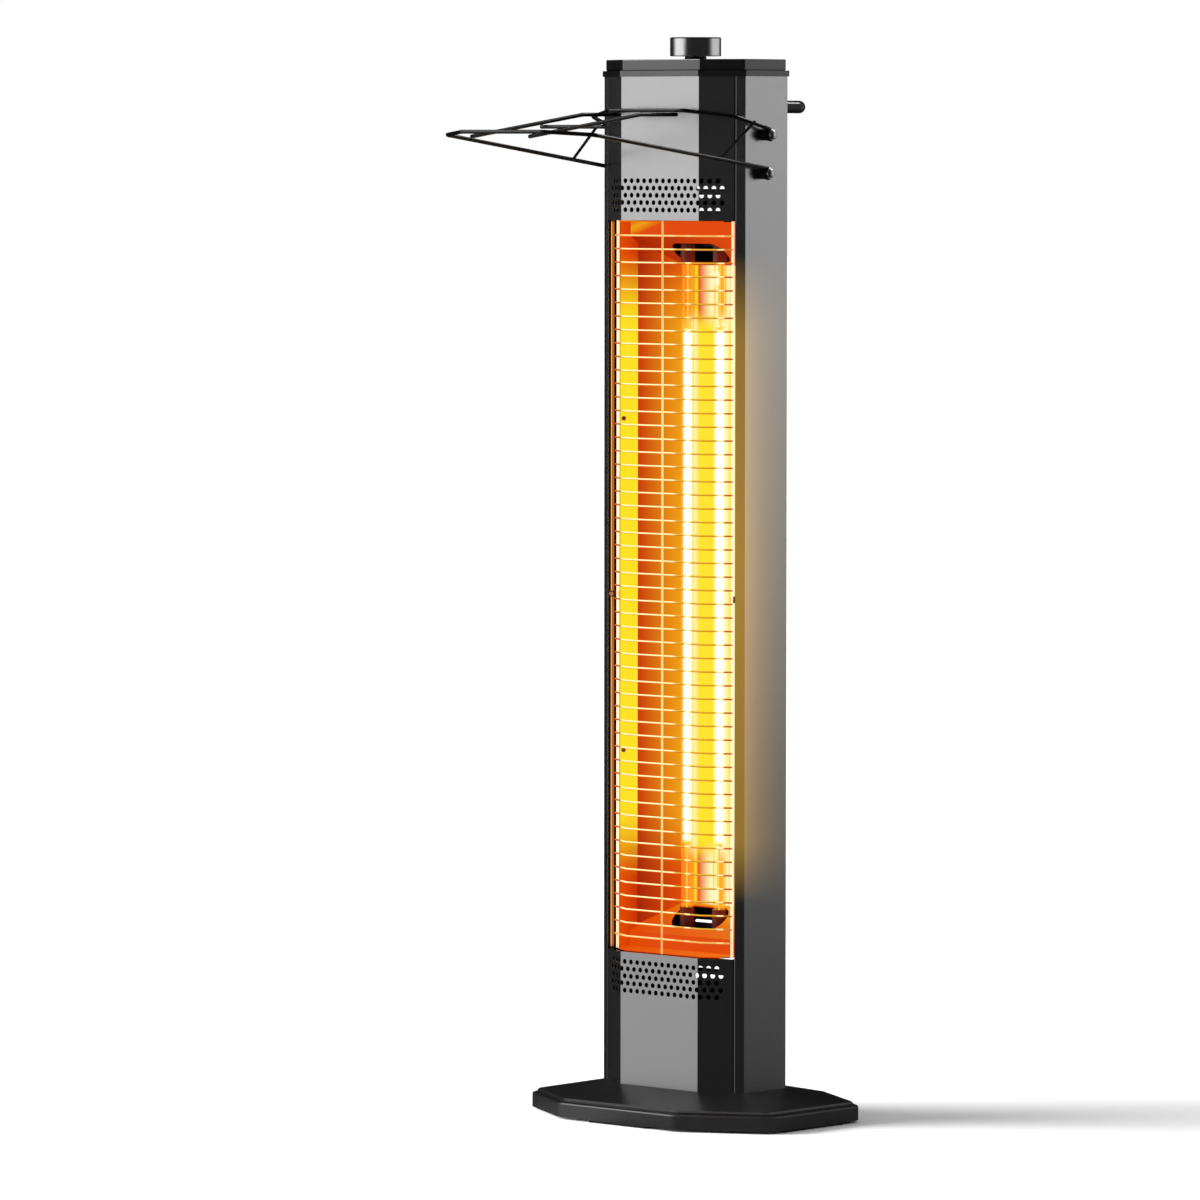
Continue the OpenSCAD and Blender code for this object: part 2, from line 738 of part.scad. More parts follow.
// Length of the shelf along the front chamfers
end_run = 24;
end_bar_gap = 3.4;
end_fold_y = -11.5;
end_fold_h = 15.5;
end_slope_share = 0.81;
end_slot_y = 8.7;
end_slot_d = 25;
end_slot_h = 60;
module reflector_end() {
    g = seat_gap;
    top = open_z1 - g;
    corner = body_in(end_inset)[1];
    edge = on_chamfer(end_run, end_inset);
    right = [
        corner, edge, [side_bar_x - end_bar_gap, -refl_front_y - 2 * g],
        [refl_front_x - 2 * g, -refl_front_y], [refl_fold_x - 2 * g, -refl_fold_y],
        [refl_back_x - g, refl_back_y - g]];
    color("#d9541c")
    difference() {
        intersection() {
            slab(concat(right, mirrored_x(right)), open_mid, open_z1);
            translate([-refl_front_x, 0, 0]) rotate([90, 0, 90])
                linear_extrude(2 * refl_front_x)
                    polygon(sheet_outline([
                        [-body_d / 2, top], [end_fold_y, top], [end_fold_y, top - end_fold_h],
                        [refl_back_y, top - end_fold_h
                            - (refl_back_y - end_fold_y) * end_slope_share]], -end_t));
        }
        translate([0, end_slot_y, open_z1 - end_slot_h]) {
            both_sides() translate([lamp_pitch / 2, 0, 0])
                cylinder(d = end_slot_d, h = end_slot_h, $fn = round_fn);
            translate([-lamp_pitch / 2, -end_slot_d / 2, 0])
                cube([lamp_pitch, end_slot_d, end_slot_h]);
        }
    }
}
module upper_reflector_end() { reflector_end(); }
module lower_reflector_end() {
    translate([0, 0, 2 * open_mid]) mirror([0, 0, 1]) reflector_end();
}

// Lamps

ceramic_in_z = 324;
ceramic_len = 28;
tube_in = 8;
tube_wall = 1;
lead_d = 1.4;
stud_d = 3.2;
stud_len = 9;
module lamp_places(side) {
    translate([side * lamp_pitch / 2, lamp_y, open_mid]) children();
}
module lamp_tube(side) {
    half = ceramic_in_z + tube_in;
    color("#fff3c4", 0.5)
    lamp_places(side) difference() {
        translate([0, 0, -half]) cylinder(d = lamp_d, h = 2 * half, $fn = round_fn);
        translate([0, 0, -half - over])
            cylinder(d = lamp_d - 2 * tube_wall, h = 2 * half + 2 * over, $fn = round_fn);
    }
}
module lamp_element(side) {
    half = ceramic_in_z + tube_in;
    color("#ffe566")
    lamp_places(side) {
        translate([0, 0, -glow_len / 2]) cylinder(d = glow_d, h = glow_len, $fn = wire_fn);
        translate([0, 0, -half]) cylinder(d = lead_d, h = 2 * half, $fn = wire_fn);
    }
}
module left_lamp_tube() { lamp_tube(-1); }
module right_lamp_tube() { lamp_tube(1); }
module left_element() { lamp_element(-1); }
module right_element() { lamp_element(1); }

// Ceramic ends of both lamps at the upper side, with their terminal studs
module lamp_ends() {
    color("#7a2a1c")
    for (side = [-1, 1]) lamp_places(side) translate([0, 0, ceramic_in_z]) {
        difference() {
            cylinder(d = ceramic_d, h = ceramic_len, $fn = round_fn);
            translate([0, 0, -over])
                cylinder(d = lamp_d + 2 * run_gap, h = tube_in + over + seat_gap, $fn = round_fn);
        }
        translate([0, 0, ceramic_len - over]) cylinder(d = stud_d, h = stud_len, $fn = wire_fn);
    }
}
module upper_lamp_ends() { lamp_ends(); }
module lower_lamp_ends() {
    translate([0, 0, 2 * open_mid]) mirror([0, 0, 1]) lamp_ends();
}

// Folded bracket on the reflector's back that carries the ceramics' outer faces
lamp_bracket_t = 1.2;
lamp_bracket_leg = 14;
module lamp_bracket() {
    z = open_mid + ceramic_in_z + ceramic_len + seat_gap + lamp_bracket_t;
    half = refl_back_x - 2 * seat_gap;
    color("#b4b6b8")
    difference() {
        translate([-half, 0, 0]) rotate([90, 0, 90])
            linear_extrude(2 * half)
                polygon(sheet_outline([
                    [lamp_y - ceramic_d / 2, z], [refl_back_y - seat_gap, z],
                    [refl_back_y - seat_gap, z - lamp_bracket_leg]], -lamp_bracket_t));
        for (side = [-1, 1])
            translate([side * lamp_pitch / 2, lamp_y, z - lamp_bracket_t - over])
                cylinder(d = stud_d + 4 * seat_gap, h = lamp_bracket_t + 2 * over,
                    $fn = wire_fn);
    }
}
module upper_lamp_bracket() { lamp_bracket(); }
module lower_lamp_bracket() {
    translate([0, 0, 2 * open_mid]) mirror([0, 0, 1]) lamp_bracket();
}

// Bimetal disc that cuts the supply if the reflector overheats, on the reflector's back
cutout_d = 16;
cutout_h = 7;
cutout_ear = 24;
// Distance from the opening's upper edge down to the cut-out
cutout_drop = 60;
cutout_z = open_z1 - cutout_drop;
module thermal_cutout() {
    y0 = refl_back_y + refl_t + seat_gap;
    color("#caa987") {
        along_y(0, cutout_z, y0, y0 + cutout_h, cutout_d);
        translate([-cutout_ear / 2, y0, cutout_z - cutout_d / 4])
            cube([cutout_ear, refl_t, cutout_d / 2]);
        for (side = [-1, 1])
            translate([side * cutout_d / 4 - refl_t / 2, y0 + cutout_h - over, cutout_z
                - cutout_d / 8])
                cube([refl_t, cutout_h, cutout_d / 4]);
    }
}

// Grille

// Half length of the grille's side runs along the chamfers
grille_side_x = 78.5;
grille_corner = body_in(grille_inset)[1];
function grille_point(x, t) = [x, grille_corner[1] + (x - grille_corner[0]) * tan(cham_a)
    + t / cos(cham_a)];
grille_bend_r = 3;
side_bar_x = 76.9;
side_bar = grille_point(side_bar_x, (grille_d + upright_d) / 2 + run_gap);
module grille_wires() {
    tip = grille_point(grille_side_x, 0);
    color("#f3cf7a")
    for (i = [0:grille_count - 1])
        translate([0, 0, open_mid + (i - (grille_count - 1) / 2) * grille_pitch])
            wire([[-tip[0], tip[1], 0], [-grille_corner[0], grille_corner[1], 0],
                [grille_corner[0], grille_corner[1], 0], [tip[0], tip[1], 0]],
                grille_bend_r, grille_d, fn = 16);
}
upright_gap = 2 * seat_gap;
module grille_upright() {
    color("#f3cf7a")
    translate([0, grille_corner[1] - (grille_d + upright_d) / 2 - run_gap, open_z0 + upright_gap])
        cylinder(d = upright_d, h = open_z1 - open_z0 - 2 * upright_gap, $fn = wire_fn);
}
module grille_side_bars() {
    color("#fff0b8")
    both_sides()
        translate([side_bar[0], side_bar[1], open_z0 + upright_gap])
            cylinder(d = upright_d, h = open_z1 - open_z0 - 2 * upright_gap, $fn = wire_fn);
}

// Clips that hold the grille's side bars, screwed to the flange along the column's seam
clip_h = 6;
clip_wall = 1.6;
// Share of a wire spacing by which the clips sit below the middle wire
clip_share = 0.66;
clip_z = open_mid - clip_share * grille_pitch;
clip_screw_d = 2.2;
// The clips' screws sit midway between the column's sheet and the clip's bend
clip_screw_t = (sheet + flange - clip_wall) / 2;
clip_s = seam_run - seat_gap;
module grille_clips() {
    color("#a9abad")
    both_sides() difference() {
        translate([0, 0, clip_z - clip_h / 2]) linear_extrude(clip_h) difference() {
            union() {
                translate(side_bar) circle(d = upright_d + 2 * clip_wall, $fn = wire_fn);
                polygon([
                    on_chamfer(clip_s, sheet), on_chamfer(clip_s, flange),
                    side_bar + [0, upright_d / 2 + clip_wall], side_bar,
                    on_chamfer(clip_s - clip_wall, flange - clip_wall),
                    on_chamfer(clip_s - clip_wall, sheet)]);
            }
            translate(side_bar) circle(d = upright_d + 2 * run_gap, $fn = wire_fn);
            translate(side_bar - [2 * upright_d, 4 * upright_d + upright_d / 4])
                square([3 * upright_d, 4 * upright_d]);
        }
        grille_screw_places() cylinder(d = clip_screw_d + 2 * run_gap, h = flange, center = true,
            $fn = wire_fn);
    }
}
// Screw places on the inner side of the seam flange, with z pointing into the opening
module grille_screw_places() {
    translate(concat(on_chamfer(clip_s - clip_wall, clip_screw_t), [clip_z]))
        rotate([0, -90, cham_a]) children();
}
module grille_screws() {
    color("#d8d2b0")
    both_sides() grille_screw_places() {
        button_head(clip_screw_d);
        translate([0, 0, -clip_wall - seat_gap - 2 * sheet])
            cylinder(d = clip_screw_d, h = clip_wall + seat_gap + 2 * sheet, $fn = wire_fn);
    }
}

// Cap

rim_z1 = body_z1 + rim_h;
groove_h = 1.2;
groove_in = 4.4;
lid_z0 = rim_z1 + groove_h;
lid_z1 = lid_z0 + lid_h;
cap_wall = 2.4;
rim_plug = 14;
rim_ring_in = 16;
// Bevel round the lid's upper edge
lid_edge = 0.8;
module cap_rim() {
    color("#3a3b3d")
    difference() {
        union() {
            slab(body_in(-rim_out), body_z1, rim_z1);
            slab(body_in(flange + 2 * seat_gap + sheet), body_z1 - rim_plug, body_z1);
        }
        slab(body_in(rim_ring_in), body_z1 - rim_plug - over, rim_z1 + over);
    }
}
module top_cap() {
    edge = lid_edge;
    color("#404143")
    difference() {
        union() {
            slab(body_in(lid_in), lid_z0, lid_z1 - edge);
            slab(body_in(groove_in), rim_z1, lid_z0);
            hull() {
                slab(body_in(lid_in), lid_z1 - edge, lid_z1 - edge + edge / 8);
                slab(body_in(lid_in + edge), lid_z1 - edge / 8, lid_z1);
            }
        }
        slab(body_in(groove_in + cap_wall), rim_z1 - over, lid_z1 - cap_wall);
        translate([0, 0, rim_z1]) cylinder(d = bushing_d + 2 * seat_gap, h = lid_h * 2,
            $fn = round_fn);
    }
}

// Rotary switch, its round nut, the turning shaft and the knob
switch_w = 30;
switch_h = 22;
bushing_d = 10;
nut_height = 3.1;
knob_gap = seat_gap;
knob_z0 = lid_z1 + nut_height + knob_gap;
shaft_up = 13;
shaft_flat = 1.4;
lug_t = 0.8;
lug_len = 7;
switch_corner_r = 3.4;
// Room round the bushing and under the shaft in the switch
switch_room = 2;
module rotary_switch() {
    z1 = lid_z1 - cap_wall;
    color("#1d2226")
    difference() {
        union() {
            translate([0, 0, z1 - switch_h]) linear_extrude(switch_h)
                polygon(rounded_loop([[-switch_w / 2, -switch_w / 2], [switch_w / 2, -switch_w / 2],
                    [switch_w / 2, switch_w / 2], [-switch_w / 2, switch_w / 2]],
                    switch_corner_r, 3));
            cylinder(d = bushing_d, h = lid_z1 + nut_height - seat_gap, $fn = round_fn);
            for (i = [-1.5:1:1.5])
                translate([i * switch_w / 5 - lug_t * 2, switch_w / 4, z1 - switch_h - lug_len])
                    cube([lug_t * 4, lug_t, lug_len + over]);
        }
        cylinder(d = bushing_d + over, h = z1 - switch_h, $fn = round_fn);
        translate([0, 0, z1 - switch_h + switch_room])
            cylinder(d = shaft_d + 2 * run_gap, h = switch_h + lid_h + 2 * nut_height,
                $fn = round_fn);
    }
}
module switch_nut() {
    color("#1a1a1b")
    translate([0, 0, lid_z1]) difference() {
        cylinder(d = nut_d, h = nut_height, $fn = round_fn);
        translate([0, 0, -over])
            cylinder(d = bushing_d + 2 * run_gap, h = nut_height + 2 * over, $fn = round_fn);
    }
}
module shaft_profile(extra) {
    difference() {
        circle(d = shaft_d + extra, $fn = round_fn);
        translate([-shaft_d, shaft_d / 2 - shaft_flat + extra / 2]) square([2 * shaft_d, shaft_d]);
    }
}
module switch_shaft() {
    z0 = lid_z1 - cap_wall - switch_h + switch_room + seat_gap;
    color("#c9ccd0") {
        translate([0, 0, z0]) cylinder(d = shaft_d, h = knob_z0 - z0, $fn = round_fn);
        translate([0, 0, knob_z0]) linear_extrude(shaft_up) shaft_profile(0);
    }
}
knob_edge = 1.2;
edge_share = 0.3;
knob_wall = 3;
boss_d = 15;
module control_knob() {
    color("#101011")
    translate([0, 0, knob_z0]) difference() {
        rotate_extrude($fn = 96)
            polygon([
                [0, 0], [knob_d / 2 - knob_edge / 2, 0], [knob_d / 2, knob_edge / 2],
                [knob_d / 2, knob_h - knob_edge],
                [knob_d / 2 - knob_edge * edge_share, knob_h - knob_edge * edge_share],
                [knob_d / 2 - knob_edge, knob_h], [0, knob_h]]);
        rotate_extrude($fn = 96)
            polygon([
                [boss_d / 2, -over], [knob_d / 2 - knob_wall, -over],
                [knob_d / 2 - knob_wall, knob_h - knob_wall], [boss_d / 2, knob_h - knob_wall]]);
        translate([0, 0, -over]) linear_extrude(shaft_up + over + seat_gap)
            shaft_profile(2 * run_gap);
    }
}

// Wire rack

rack_bend_r = 9;
rack_front_z = body_z1 - rack_front_drop;
rack_inner_z = body_z1 - rack_inner_drop;
rack_screw_d = 5;
// Heights of the two pairs of screws, and their distances in front of the column's axis
rack_screw_z1 = body_z1 - rack_drop;
rack_screw_z0 = rack_screw_z1 - rack_screw_pitch;
rack_screw_y1 = -4;
rack_screw_y0 = -7.5;
// Radius of the eye that a frame's wire forms round its screw
eye_r = (rack_screw_d + rack_d) / 2 + seat_gap;
rack_eye_x = body_w / 2 + standoff_len + rack_d / 2 + seat_gap;
rack_corner_y = -256.8;
rack_front_x = 54.2;
// Drop of the lower frame's corners below its front bar
rack_corner_drop = 3;
// Point where an arm that comes from the point q runs onto the eye round c
function eye_start(c, q, n) =
    n == 0 ? c + [0, 0, eye_r]
    : let (g = unit(eye_start(c, q, n - 1) - q), down = unit([0, 0, -1] + g * g[2]))
      c - down * eye_r;
lower_eye = [rack_eye_x, rack_screw_y0, rack_screw_z0];
upper_eye = [rack_eye_x, rack_screw_y1, rack_screw_z1];
// Corners of the lower frame on the right, from its arm to the front bar
lower_half = [
    [rack_corner_x, rack_corner_y, rack_front_z - rack_corner_drop],
    [rack_front_x, -rack_reach, rack_front_z]
];
rack_inner_x = 48.6;
rack_inner_y = -73.8;
// Distance of the upper frame's side corners beyond the column's side faces
rack_side_out = 0.7;
rack_side_y = -48;
// Drop of the upper frame's side corners below its inner bar
rack_side_drop = 6.1;
upper_side = [body_w / 2 + rack_side_out, rack_side_y, rack_inner_z - rack_side_drop];
// Straight run of the upper frame's wire past its eye, before it turns inward
rack_lead = 10;
upper_aim = [rack_eye_x, rack_side_y, upper_side[2]];
upper_lead = let (s = eye_start(upper_eye, upper_aim, 8)) s + unit(upper_aim - s) * rack_lead;
// Corners of the upper frame on the right, from its arm to the inner bar
upper_half = [upper_lead, upper_side, [rack_inner_x, rack_inner_y, rack_inner_z]];
function mirrored_path(p) = [for (q = flipped(p)) [-q[0], q[1], q[2]]];

// A frame runs from the right eye round c along its half path and back to the left eye. Each
// eye is an open hook round its screw.
eye_turn = 305;
module rack_frame(c, half) {
    s = eye_start(c, half[0], 8);
    g = unit(s - half[0]);
    first = s + g * rack_d * lap_share;
    wire(concat([first], half, mirrored_path(concat([first], half))), rack_bend_r, rack_d);
    both_sides() ring_frame(c, s, g)
        rotate_extrude(angle = eye_turn, $fn = round_fn)
            translate([eye_r, 0]) circle(d = rack_d * bend_share, $fn = wire_fn);
}
module rack_lower_frame() {
    color("#151515") rack_frame(lower_eye, lower_half);
}
module rack_upper_frame() {
    color("#151515") rack_frame(upper_eye, upper_half);
}

// Ribs hang under both bars and end just past them
rib_past = 2.6;
rib_bend_r = 24;
rib_bend_y = -123.5;
rack_lap = rack_d + seat_gap;
rib_slope = (rack_inner_z - rack_front_z) / (rack_reach + rib_bend_y);
// Drop that keeps a sloping wire one lap away from the wire over it
rib_drop = rack_lap / cos(atan(rib_slope));
module rack_ribs() {
    color("#151515")
    both_sides()
        wire([
            [rib_x, -rack_reach - rib_past, rack_front_z - rib_drop - rib_past * rib_slope],
            [rib_x, rib_bend_y, rack_inner_z - rack_lap],
            [rib_x, rack_inner_y + rib_past, rack_inner_z - rack_lap]], rib_bend_r, rack_d);
}
cross_y = -180.7;
cross_past = 3.4;
module rack_crossbar() {
    z = rack_front_z - 2 * rib_drop + (cross_y + rack_reach) * rib_slope;
    color("#151515")
    rod([-rib_x - cross_past, cross_y, z], [rib_x + cross_past, cross_y, z], rack_d);
}
// Point with depth y on the straight line from a to b
function along_arm(a, b, y) = a + (b - a) * ((y - a[1]) / (b[1] - a[1]));
// Struts lap the lower arms on their inner side and the upper arms on their outer side
strut_low_y = -75;
strut_top_y = -27.5;
strut_past = 1;
strut_lap = (rack_d + strut_d) / 2 + seat_gap;
module rack_struts() {
    lo = along_arm(eye_start(lower_eye, lower_half[0], 8), lower_half[0], strut_low_y);
    up = along_arm(upper_lead, upper_side, strut_top_y);
    a = lo - [strut_lap, 0, strut_past];
    b = up + [strut_lap, 0, strut_past];
    color("#151515") both_sides() rod(a, b, strut_d);
}

// Standoffs, and the domed screws that clamp the eyes on them
module at_rack_screws() {
    both_sides() {
        translate([body_w / 2, rack_screw_y0, rack_screw_z0]) rotate([0, 90, 0]) children();
        translate([body_w / 2, rack_screw_y1, rack_screw_z1]) rotate([0, 90, 0]) children();
    }
}
module rack_screw_cut() {
    at_rack_screws() translate([0, 0, -2 * sheet])
        cylinder(d = rack_screw_d + 2 * run_gap, h = 2 * sheet + over, $fn = wire_fn);
}
washer_t = 1.2;
washer_d = 11;
// Thread size that the domed heads are drawn for
rack_head_size = 5.4;
// Room that an eye takes between its standoff and the washer
eye_room = rack_d + 2 * seat_gap;
module rack_standoffs() {
    color("#0e0e0e")
    at_rack_screws() difference() {
        cylinder(d = standoff_d, h = standoff_len, $fn = round_fn);
        translate([0, 0, -over])
            cylinder(d = rack_screw_d + 2 * run_gap, h = standoff_len + 2 * over, $fn = wire_fn);
    }
}
module rack_screws() {
    color("#1c1c1d")
    at_rack_screws() {
        translate([0, 0, -4 * sheet])
            cylinder(d = rack_screw_d, h = 4 * sheet + standoff_len + eye_room + washer_t,
                $fn = wire_fn);
        translate([0, 0, standoff_len + eye_room])
            cylinder(d = washer_d, h = washer_t, $fn = round_fn);
        translate([0, 0, standoff_len + eye_room + washer_t]) button_head(rack_head_size);
    }
}

// Carry handle

handle_bend_r = 15;
handle_bend_share = 1.01;
flange_t = 2.4;
flange_d = 20;
handle_screw_d = 5;
handle_z = body_z1 - handle_drop;
module handle_screw_places() {
    for (side = [-1, 1]) translate([side * handle_span / 2, 0, handle_z]) children();
}
module handle_screw_cut() {
    handle_screw_places()
        along_y(0, 0, body_d / 2 - 2 * flange_d, body_d / 2 + over,
            handle_screw_d + 2 * seat_gap, wire_fn);
}
module carry_handle() {
    y1 = body_d / 2 + handle_reach;
    path = [
        [handle_span / 2, body_d / 2 + flange_t, handle_z],
        [handle_span / 2, y1, handle_z], [-handle_span / 2, y1, handle_z],
        [-handle_span / 2, body_d / 2 + flange_t, handle_z]];
    color("#141414")
    difference() {
        wire(path, handle_bend_r, handle_d, handle_bend_share, 32);
        handle_screw_places()
            along_y(0, 0, body_d / 2, body_d / 2 + flange_t + handle_reach / 2,
                handle_screw_d + 2 * run_gap, wire_fn);
    }
}
// Shaped flanges that seat the legs on the rear face and its chamfers
module handle_flanges() {
    color("#141414")
    difference() {
        handle_screw_places()
            along_y(0, 0, rear_y(handle_span / 2 + flange_d / 2, 0) - over,
                body_d / 2 + flange_t, flange_d);
        slab(body_in(0), handle_z - flange_d, handle_z + flange_d);
        handle_screw_places()
            along_y(0, 0, body_d / 2 - flange_d, body_d / 2 + flange_t + over,
                handle_screw_d + 2 * seat_gap, wire_fn);
    }
}
module handle_screws() {
    head_y = rear_y(handle_span / 2 + handle_screw_d, sheet) - seat_gap;
    color("#8b8d90")
    handle_screw_places() {
        along_y(0, 0, head_y, body_d / 2 + flange_t + handle_reach / 2 - 2 * over,
            handle_screw_d, wire_fn);
        along_y(0, 0, head_y - 2 * sheet, head_y, handle_screw_d * 2);
    }
}

base_cover();
base_plate();
foot_pads();
base_spacers();
base_screws();
tower_foot();
body_shell();
upper_front_panel();
lower_front_panel();
rear_cover();
rear_cover_screws();
cord_gland();
terminal_block();
tilt_switch();
reflector();
upper_reflector_end();
lower_reflector_end();
reflector_brackets();
reflector_rivets();
left_lamp_tube();
right_lamp_tube();
left_element();
right_element();
upper_lamp_ends();
lower_lamp_ends();
upper_lamp_bracket();
lower_lamp_bracket();
thermal_cutout();
grille_wires();
grille_upright();
grille_side_bars();
grille_clips();
grille_screws();
cap_rim();
top_cap();
rotary_switch();
switch_nut();
switch_shaft();
control_knob();
rack_lower_frame();
rack_upper_frame();
rack_ribs();
rack_crossbar();
rack_struts();
rack_standoffs();
rack_screws();
carry_handle();
handle_flanges();
handle_screws();
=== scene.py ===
# %% [markdown]
# # Infrared patio heater tower
# This lesson dresses a finished CAD model in Blender. We load the frame first.

# %% Load the frame
import math

import bmesh
import bpy
from mathutils import Matrix, Vector


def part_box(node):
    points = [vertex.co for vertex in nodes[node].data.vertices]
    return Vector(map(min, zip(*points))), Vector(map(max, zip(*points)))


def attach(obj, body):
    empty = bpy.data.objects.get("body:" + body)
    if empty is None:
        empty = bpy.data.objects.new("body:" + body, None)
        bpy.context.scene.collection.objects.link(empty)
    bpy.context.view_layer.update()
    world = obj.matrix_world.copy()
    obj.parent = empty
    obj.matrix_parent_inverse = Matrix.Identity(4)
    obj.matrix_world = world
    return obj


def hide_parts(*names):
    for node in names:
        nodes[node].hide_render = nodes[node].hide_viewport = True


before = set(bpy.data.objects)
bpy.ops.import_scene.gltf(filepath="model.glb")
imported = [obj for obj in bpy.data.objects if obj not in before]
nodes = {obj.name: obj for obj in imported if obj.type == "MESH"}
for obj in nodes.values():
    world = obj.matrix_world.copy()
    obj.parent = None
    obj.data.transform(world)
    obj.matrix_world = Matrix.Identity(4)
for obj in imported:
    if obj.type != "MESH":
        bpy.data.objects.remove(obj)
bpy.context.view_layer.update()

# %% [markdown]
# ## Small helpers
# The frame is in metres, but the heater was measured in millimetres, so `mm` turns one into the
# other. Screen colours are written as hex and turned into the linear values that shaders use.

# %% Units, colours and objects


def mm(*values):
    """Millimetres to metres: one number, or a vector of several."""
    return values[0] / 1000 if len(values) == 1 else Vector([v / 1000 for v in values])


def colour(hexa, share=1.0):
    """A screen colour such as 'c74d00' as a linear RGBA value, dimmed to a share."""
    parts = [int(hexa[i : i + 2], 16) / 255 for i in (0, 2, 4)]
    linear = [p / 12.92 if p <= 0.04045 else ((p + 0.055) / 1.055) ** 2.4 for p in parts]
    return (*[share * p for p in linear], 1.0)


def add(name, data):
    """An object in the scene, for a mesh, a light or a camera."""
    made = bpy.data.objects.new(name, data)
    bpy.context.collection.objects.link(made)
    return made


print("mid grey is", [round(c, 3) for c in colour("808080")])

# %% [markdown]
# ## Camera
# The photograph was taken with a long lens from the right and a little above. Its place comes
# from a perspective solved on the grid of vent holes, so the render lies exactly over the photo.
# A camera looks along its own -Z, so we build its three axes and hand them over as a matrix.

# %% Camera
camera_place = mm(5318.8, -5940.6, 978.0)
camera_turn = math.radians(42.521)
camera_tilt = math.radians(3.3)
camera_roll = math.radians(0.04)

right = Vector((math.cos(camera_turn), math.sin(camera_turn), 0))
ahead = Vector(
    (
        -math.sin(camera_turn) * math.cos(camera_tilt),
        math.cos(camera_turn) * math.cos(camera_tilt),
        -math.sin(camera_tilt),
    )
)
above = right.cross(ahead)
cam_x = right * math.cos(camera_roll) + above * math.sin(camera_roll)
cam_y = above * math.cos(camera_roll) - right * math.sin(camera_roll)

photo_side, sensor_side = 1200, 36
camera_data = bpy.data.cameras.new("camera")
camera_data.sensor_width = sensor_side
camera_data.lens = 7980.89 / photo_side * sensor_side
camera_data.clip_end = 200
camera = add("camera", camera_data)
turned = [(cam_x[i], cam_y[i], -ahead[i], camera_place[i]) for i in range(3)]
camera.matrix_world = Matrix(turned + [(0, 0, 0, 1)])
bpy.context.scene.camera = camera
bpy.context.scene.view_settings.view_transform = "Standard"
print("lens", round(camera_data.lens, 1), "mm at", [round(c, 2) for c in camera_place])

# %% [markdown]
# ## Building shader nodes with less typing
# Every finish below is a material made of nodes. `Shader` keeps a material's node tree and gives
# short calls for the nodes that come back again and again, which keeps each recipe readable.

# %% Shader helper


class Shader:
    """A node tree under construction, of a material or of a shared group."""

    def __init__(self, tree):
        self.tree = tree

    def node(self, kind, **settings):
        made = self.tree.nodes.new(kind)
        for key, value in settings.items():
            setattr(made, key, value)
        return made

    def put(self, target, source):
        """Joins an output socket to an input socket, or sets a plain value."""
        if isinstance(source, bpy.types.NodeSocket):
            self.tree.links.new(source, target)
        else:
            target.default_value = source

    def math(self, what, a, b=0.0, clamp=False):
        made = self.node("ShaderNodeMath", operation=what, use_clamp=clamp)
        self.put(made.inputs[0], a)
        self.put(made.inputs[1], b)
        return made.outputs[0]

    def spread(self, value, low, high, out_low=0.0, out_high=1.0, smooth=True):
        """Maps a value from low..high to out_low..out_high, clamped, with a soft curve."""
        made = self.node("ShaderNodeMapRange")
        made.interpolation_type = "SMOOTHSTEP" if smooth else "LINEAR"
        for slot_name, entry in zip(
            ("Value", "From Min", "From Max", "To Min", "To Max"),
            (value, low, high, out_low, out_high),
        ):
            self.put(made.inputs[slot_name], entry)
        return made.outputs["Result"]

    def blend(self, share, first, second, how="MIX"):
        """Mixes two colours, or lays one over the other in another blend mode."""
        made = self.node("ShaderNodeMix", data_type="RGBA", blend_type=how)
        made.clamp_result = False
        self.put(made.inputs[0], share)
        self.put(made.inputs[6], first)
        self.put(made.inputs[7], second)
        return made.outputs[2]

    def ramp(self, value, stops):
        made = self.node("ShaderNodeValToRGB")
        ends = made.color_ramp.elements
        ends[0].position, ends[0].color = stops[0]
        ends[1].position, ends[1].color = stops[-1]
        for place, shade in stops[1:-1]:
            ends.new(place).color = shade
        self.put(made.inputs[0], value)
        return made.outputs["Color"]

    def place(self):
        """The object's own coordinates, whole and as x, y and z."""
        where = self.node("ShaderNodeTexCoord").outputs["Object"]
        parts = self.node("ShaderNodeSeparateXYZ")
        self.put(parts.inputs[0], where)
        return where, parts.outputs[0], parts.outputs[1], parts.outputs[2]

    def group(self, tree, **values):
        made = self.node("ShaderNodeGroup", node_tree=tree)
        for label, value in values.items():
            self.put(made.inputs[label.replace("_", " ").capitalize()], value)
        return made

    def product(self, first, *others):
        """Multiplies masks or other values."""
        for other in others:
            first = self.math("MULTIPLY", first, other)
        return first

    def opposite(self, share):
        return self.math("SUBTRACT", 1.0, share)

    def band(self, value, rise, full, last, fall):
        """A strip of a value: 0 up to `rise`, 1 from `full` to `last`, 0 again from `fall`."""
        return self.product(self.spread(value, rise, full), self.spread(value, fall, last))

    def facing(self, kind="True Normal"):
        """The x, y and z of the face's own normal, or of the shading normal."""
        parts = self.node("ShaderNodeSeparateXYZ")
        self.put(parts.inputs[0], self.node("ShaderNodeNewGeometry").outputs[kind])
        return parts.outputs


print("shader helper ready")

# %% [markdown]
# ## Finishes that several materials share
# Powder coat, moulded plastic and bare sheet all have two things in common. Their surface has a
# very fine unevenness that breaks up reflections, and hands and cloths leave faint patches where
# the gloss changes. Both are built once as node groups with named inputs, and every material
# places them with its own values.

# %% Shared groups: fine skin and handled gloss


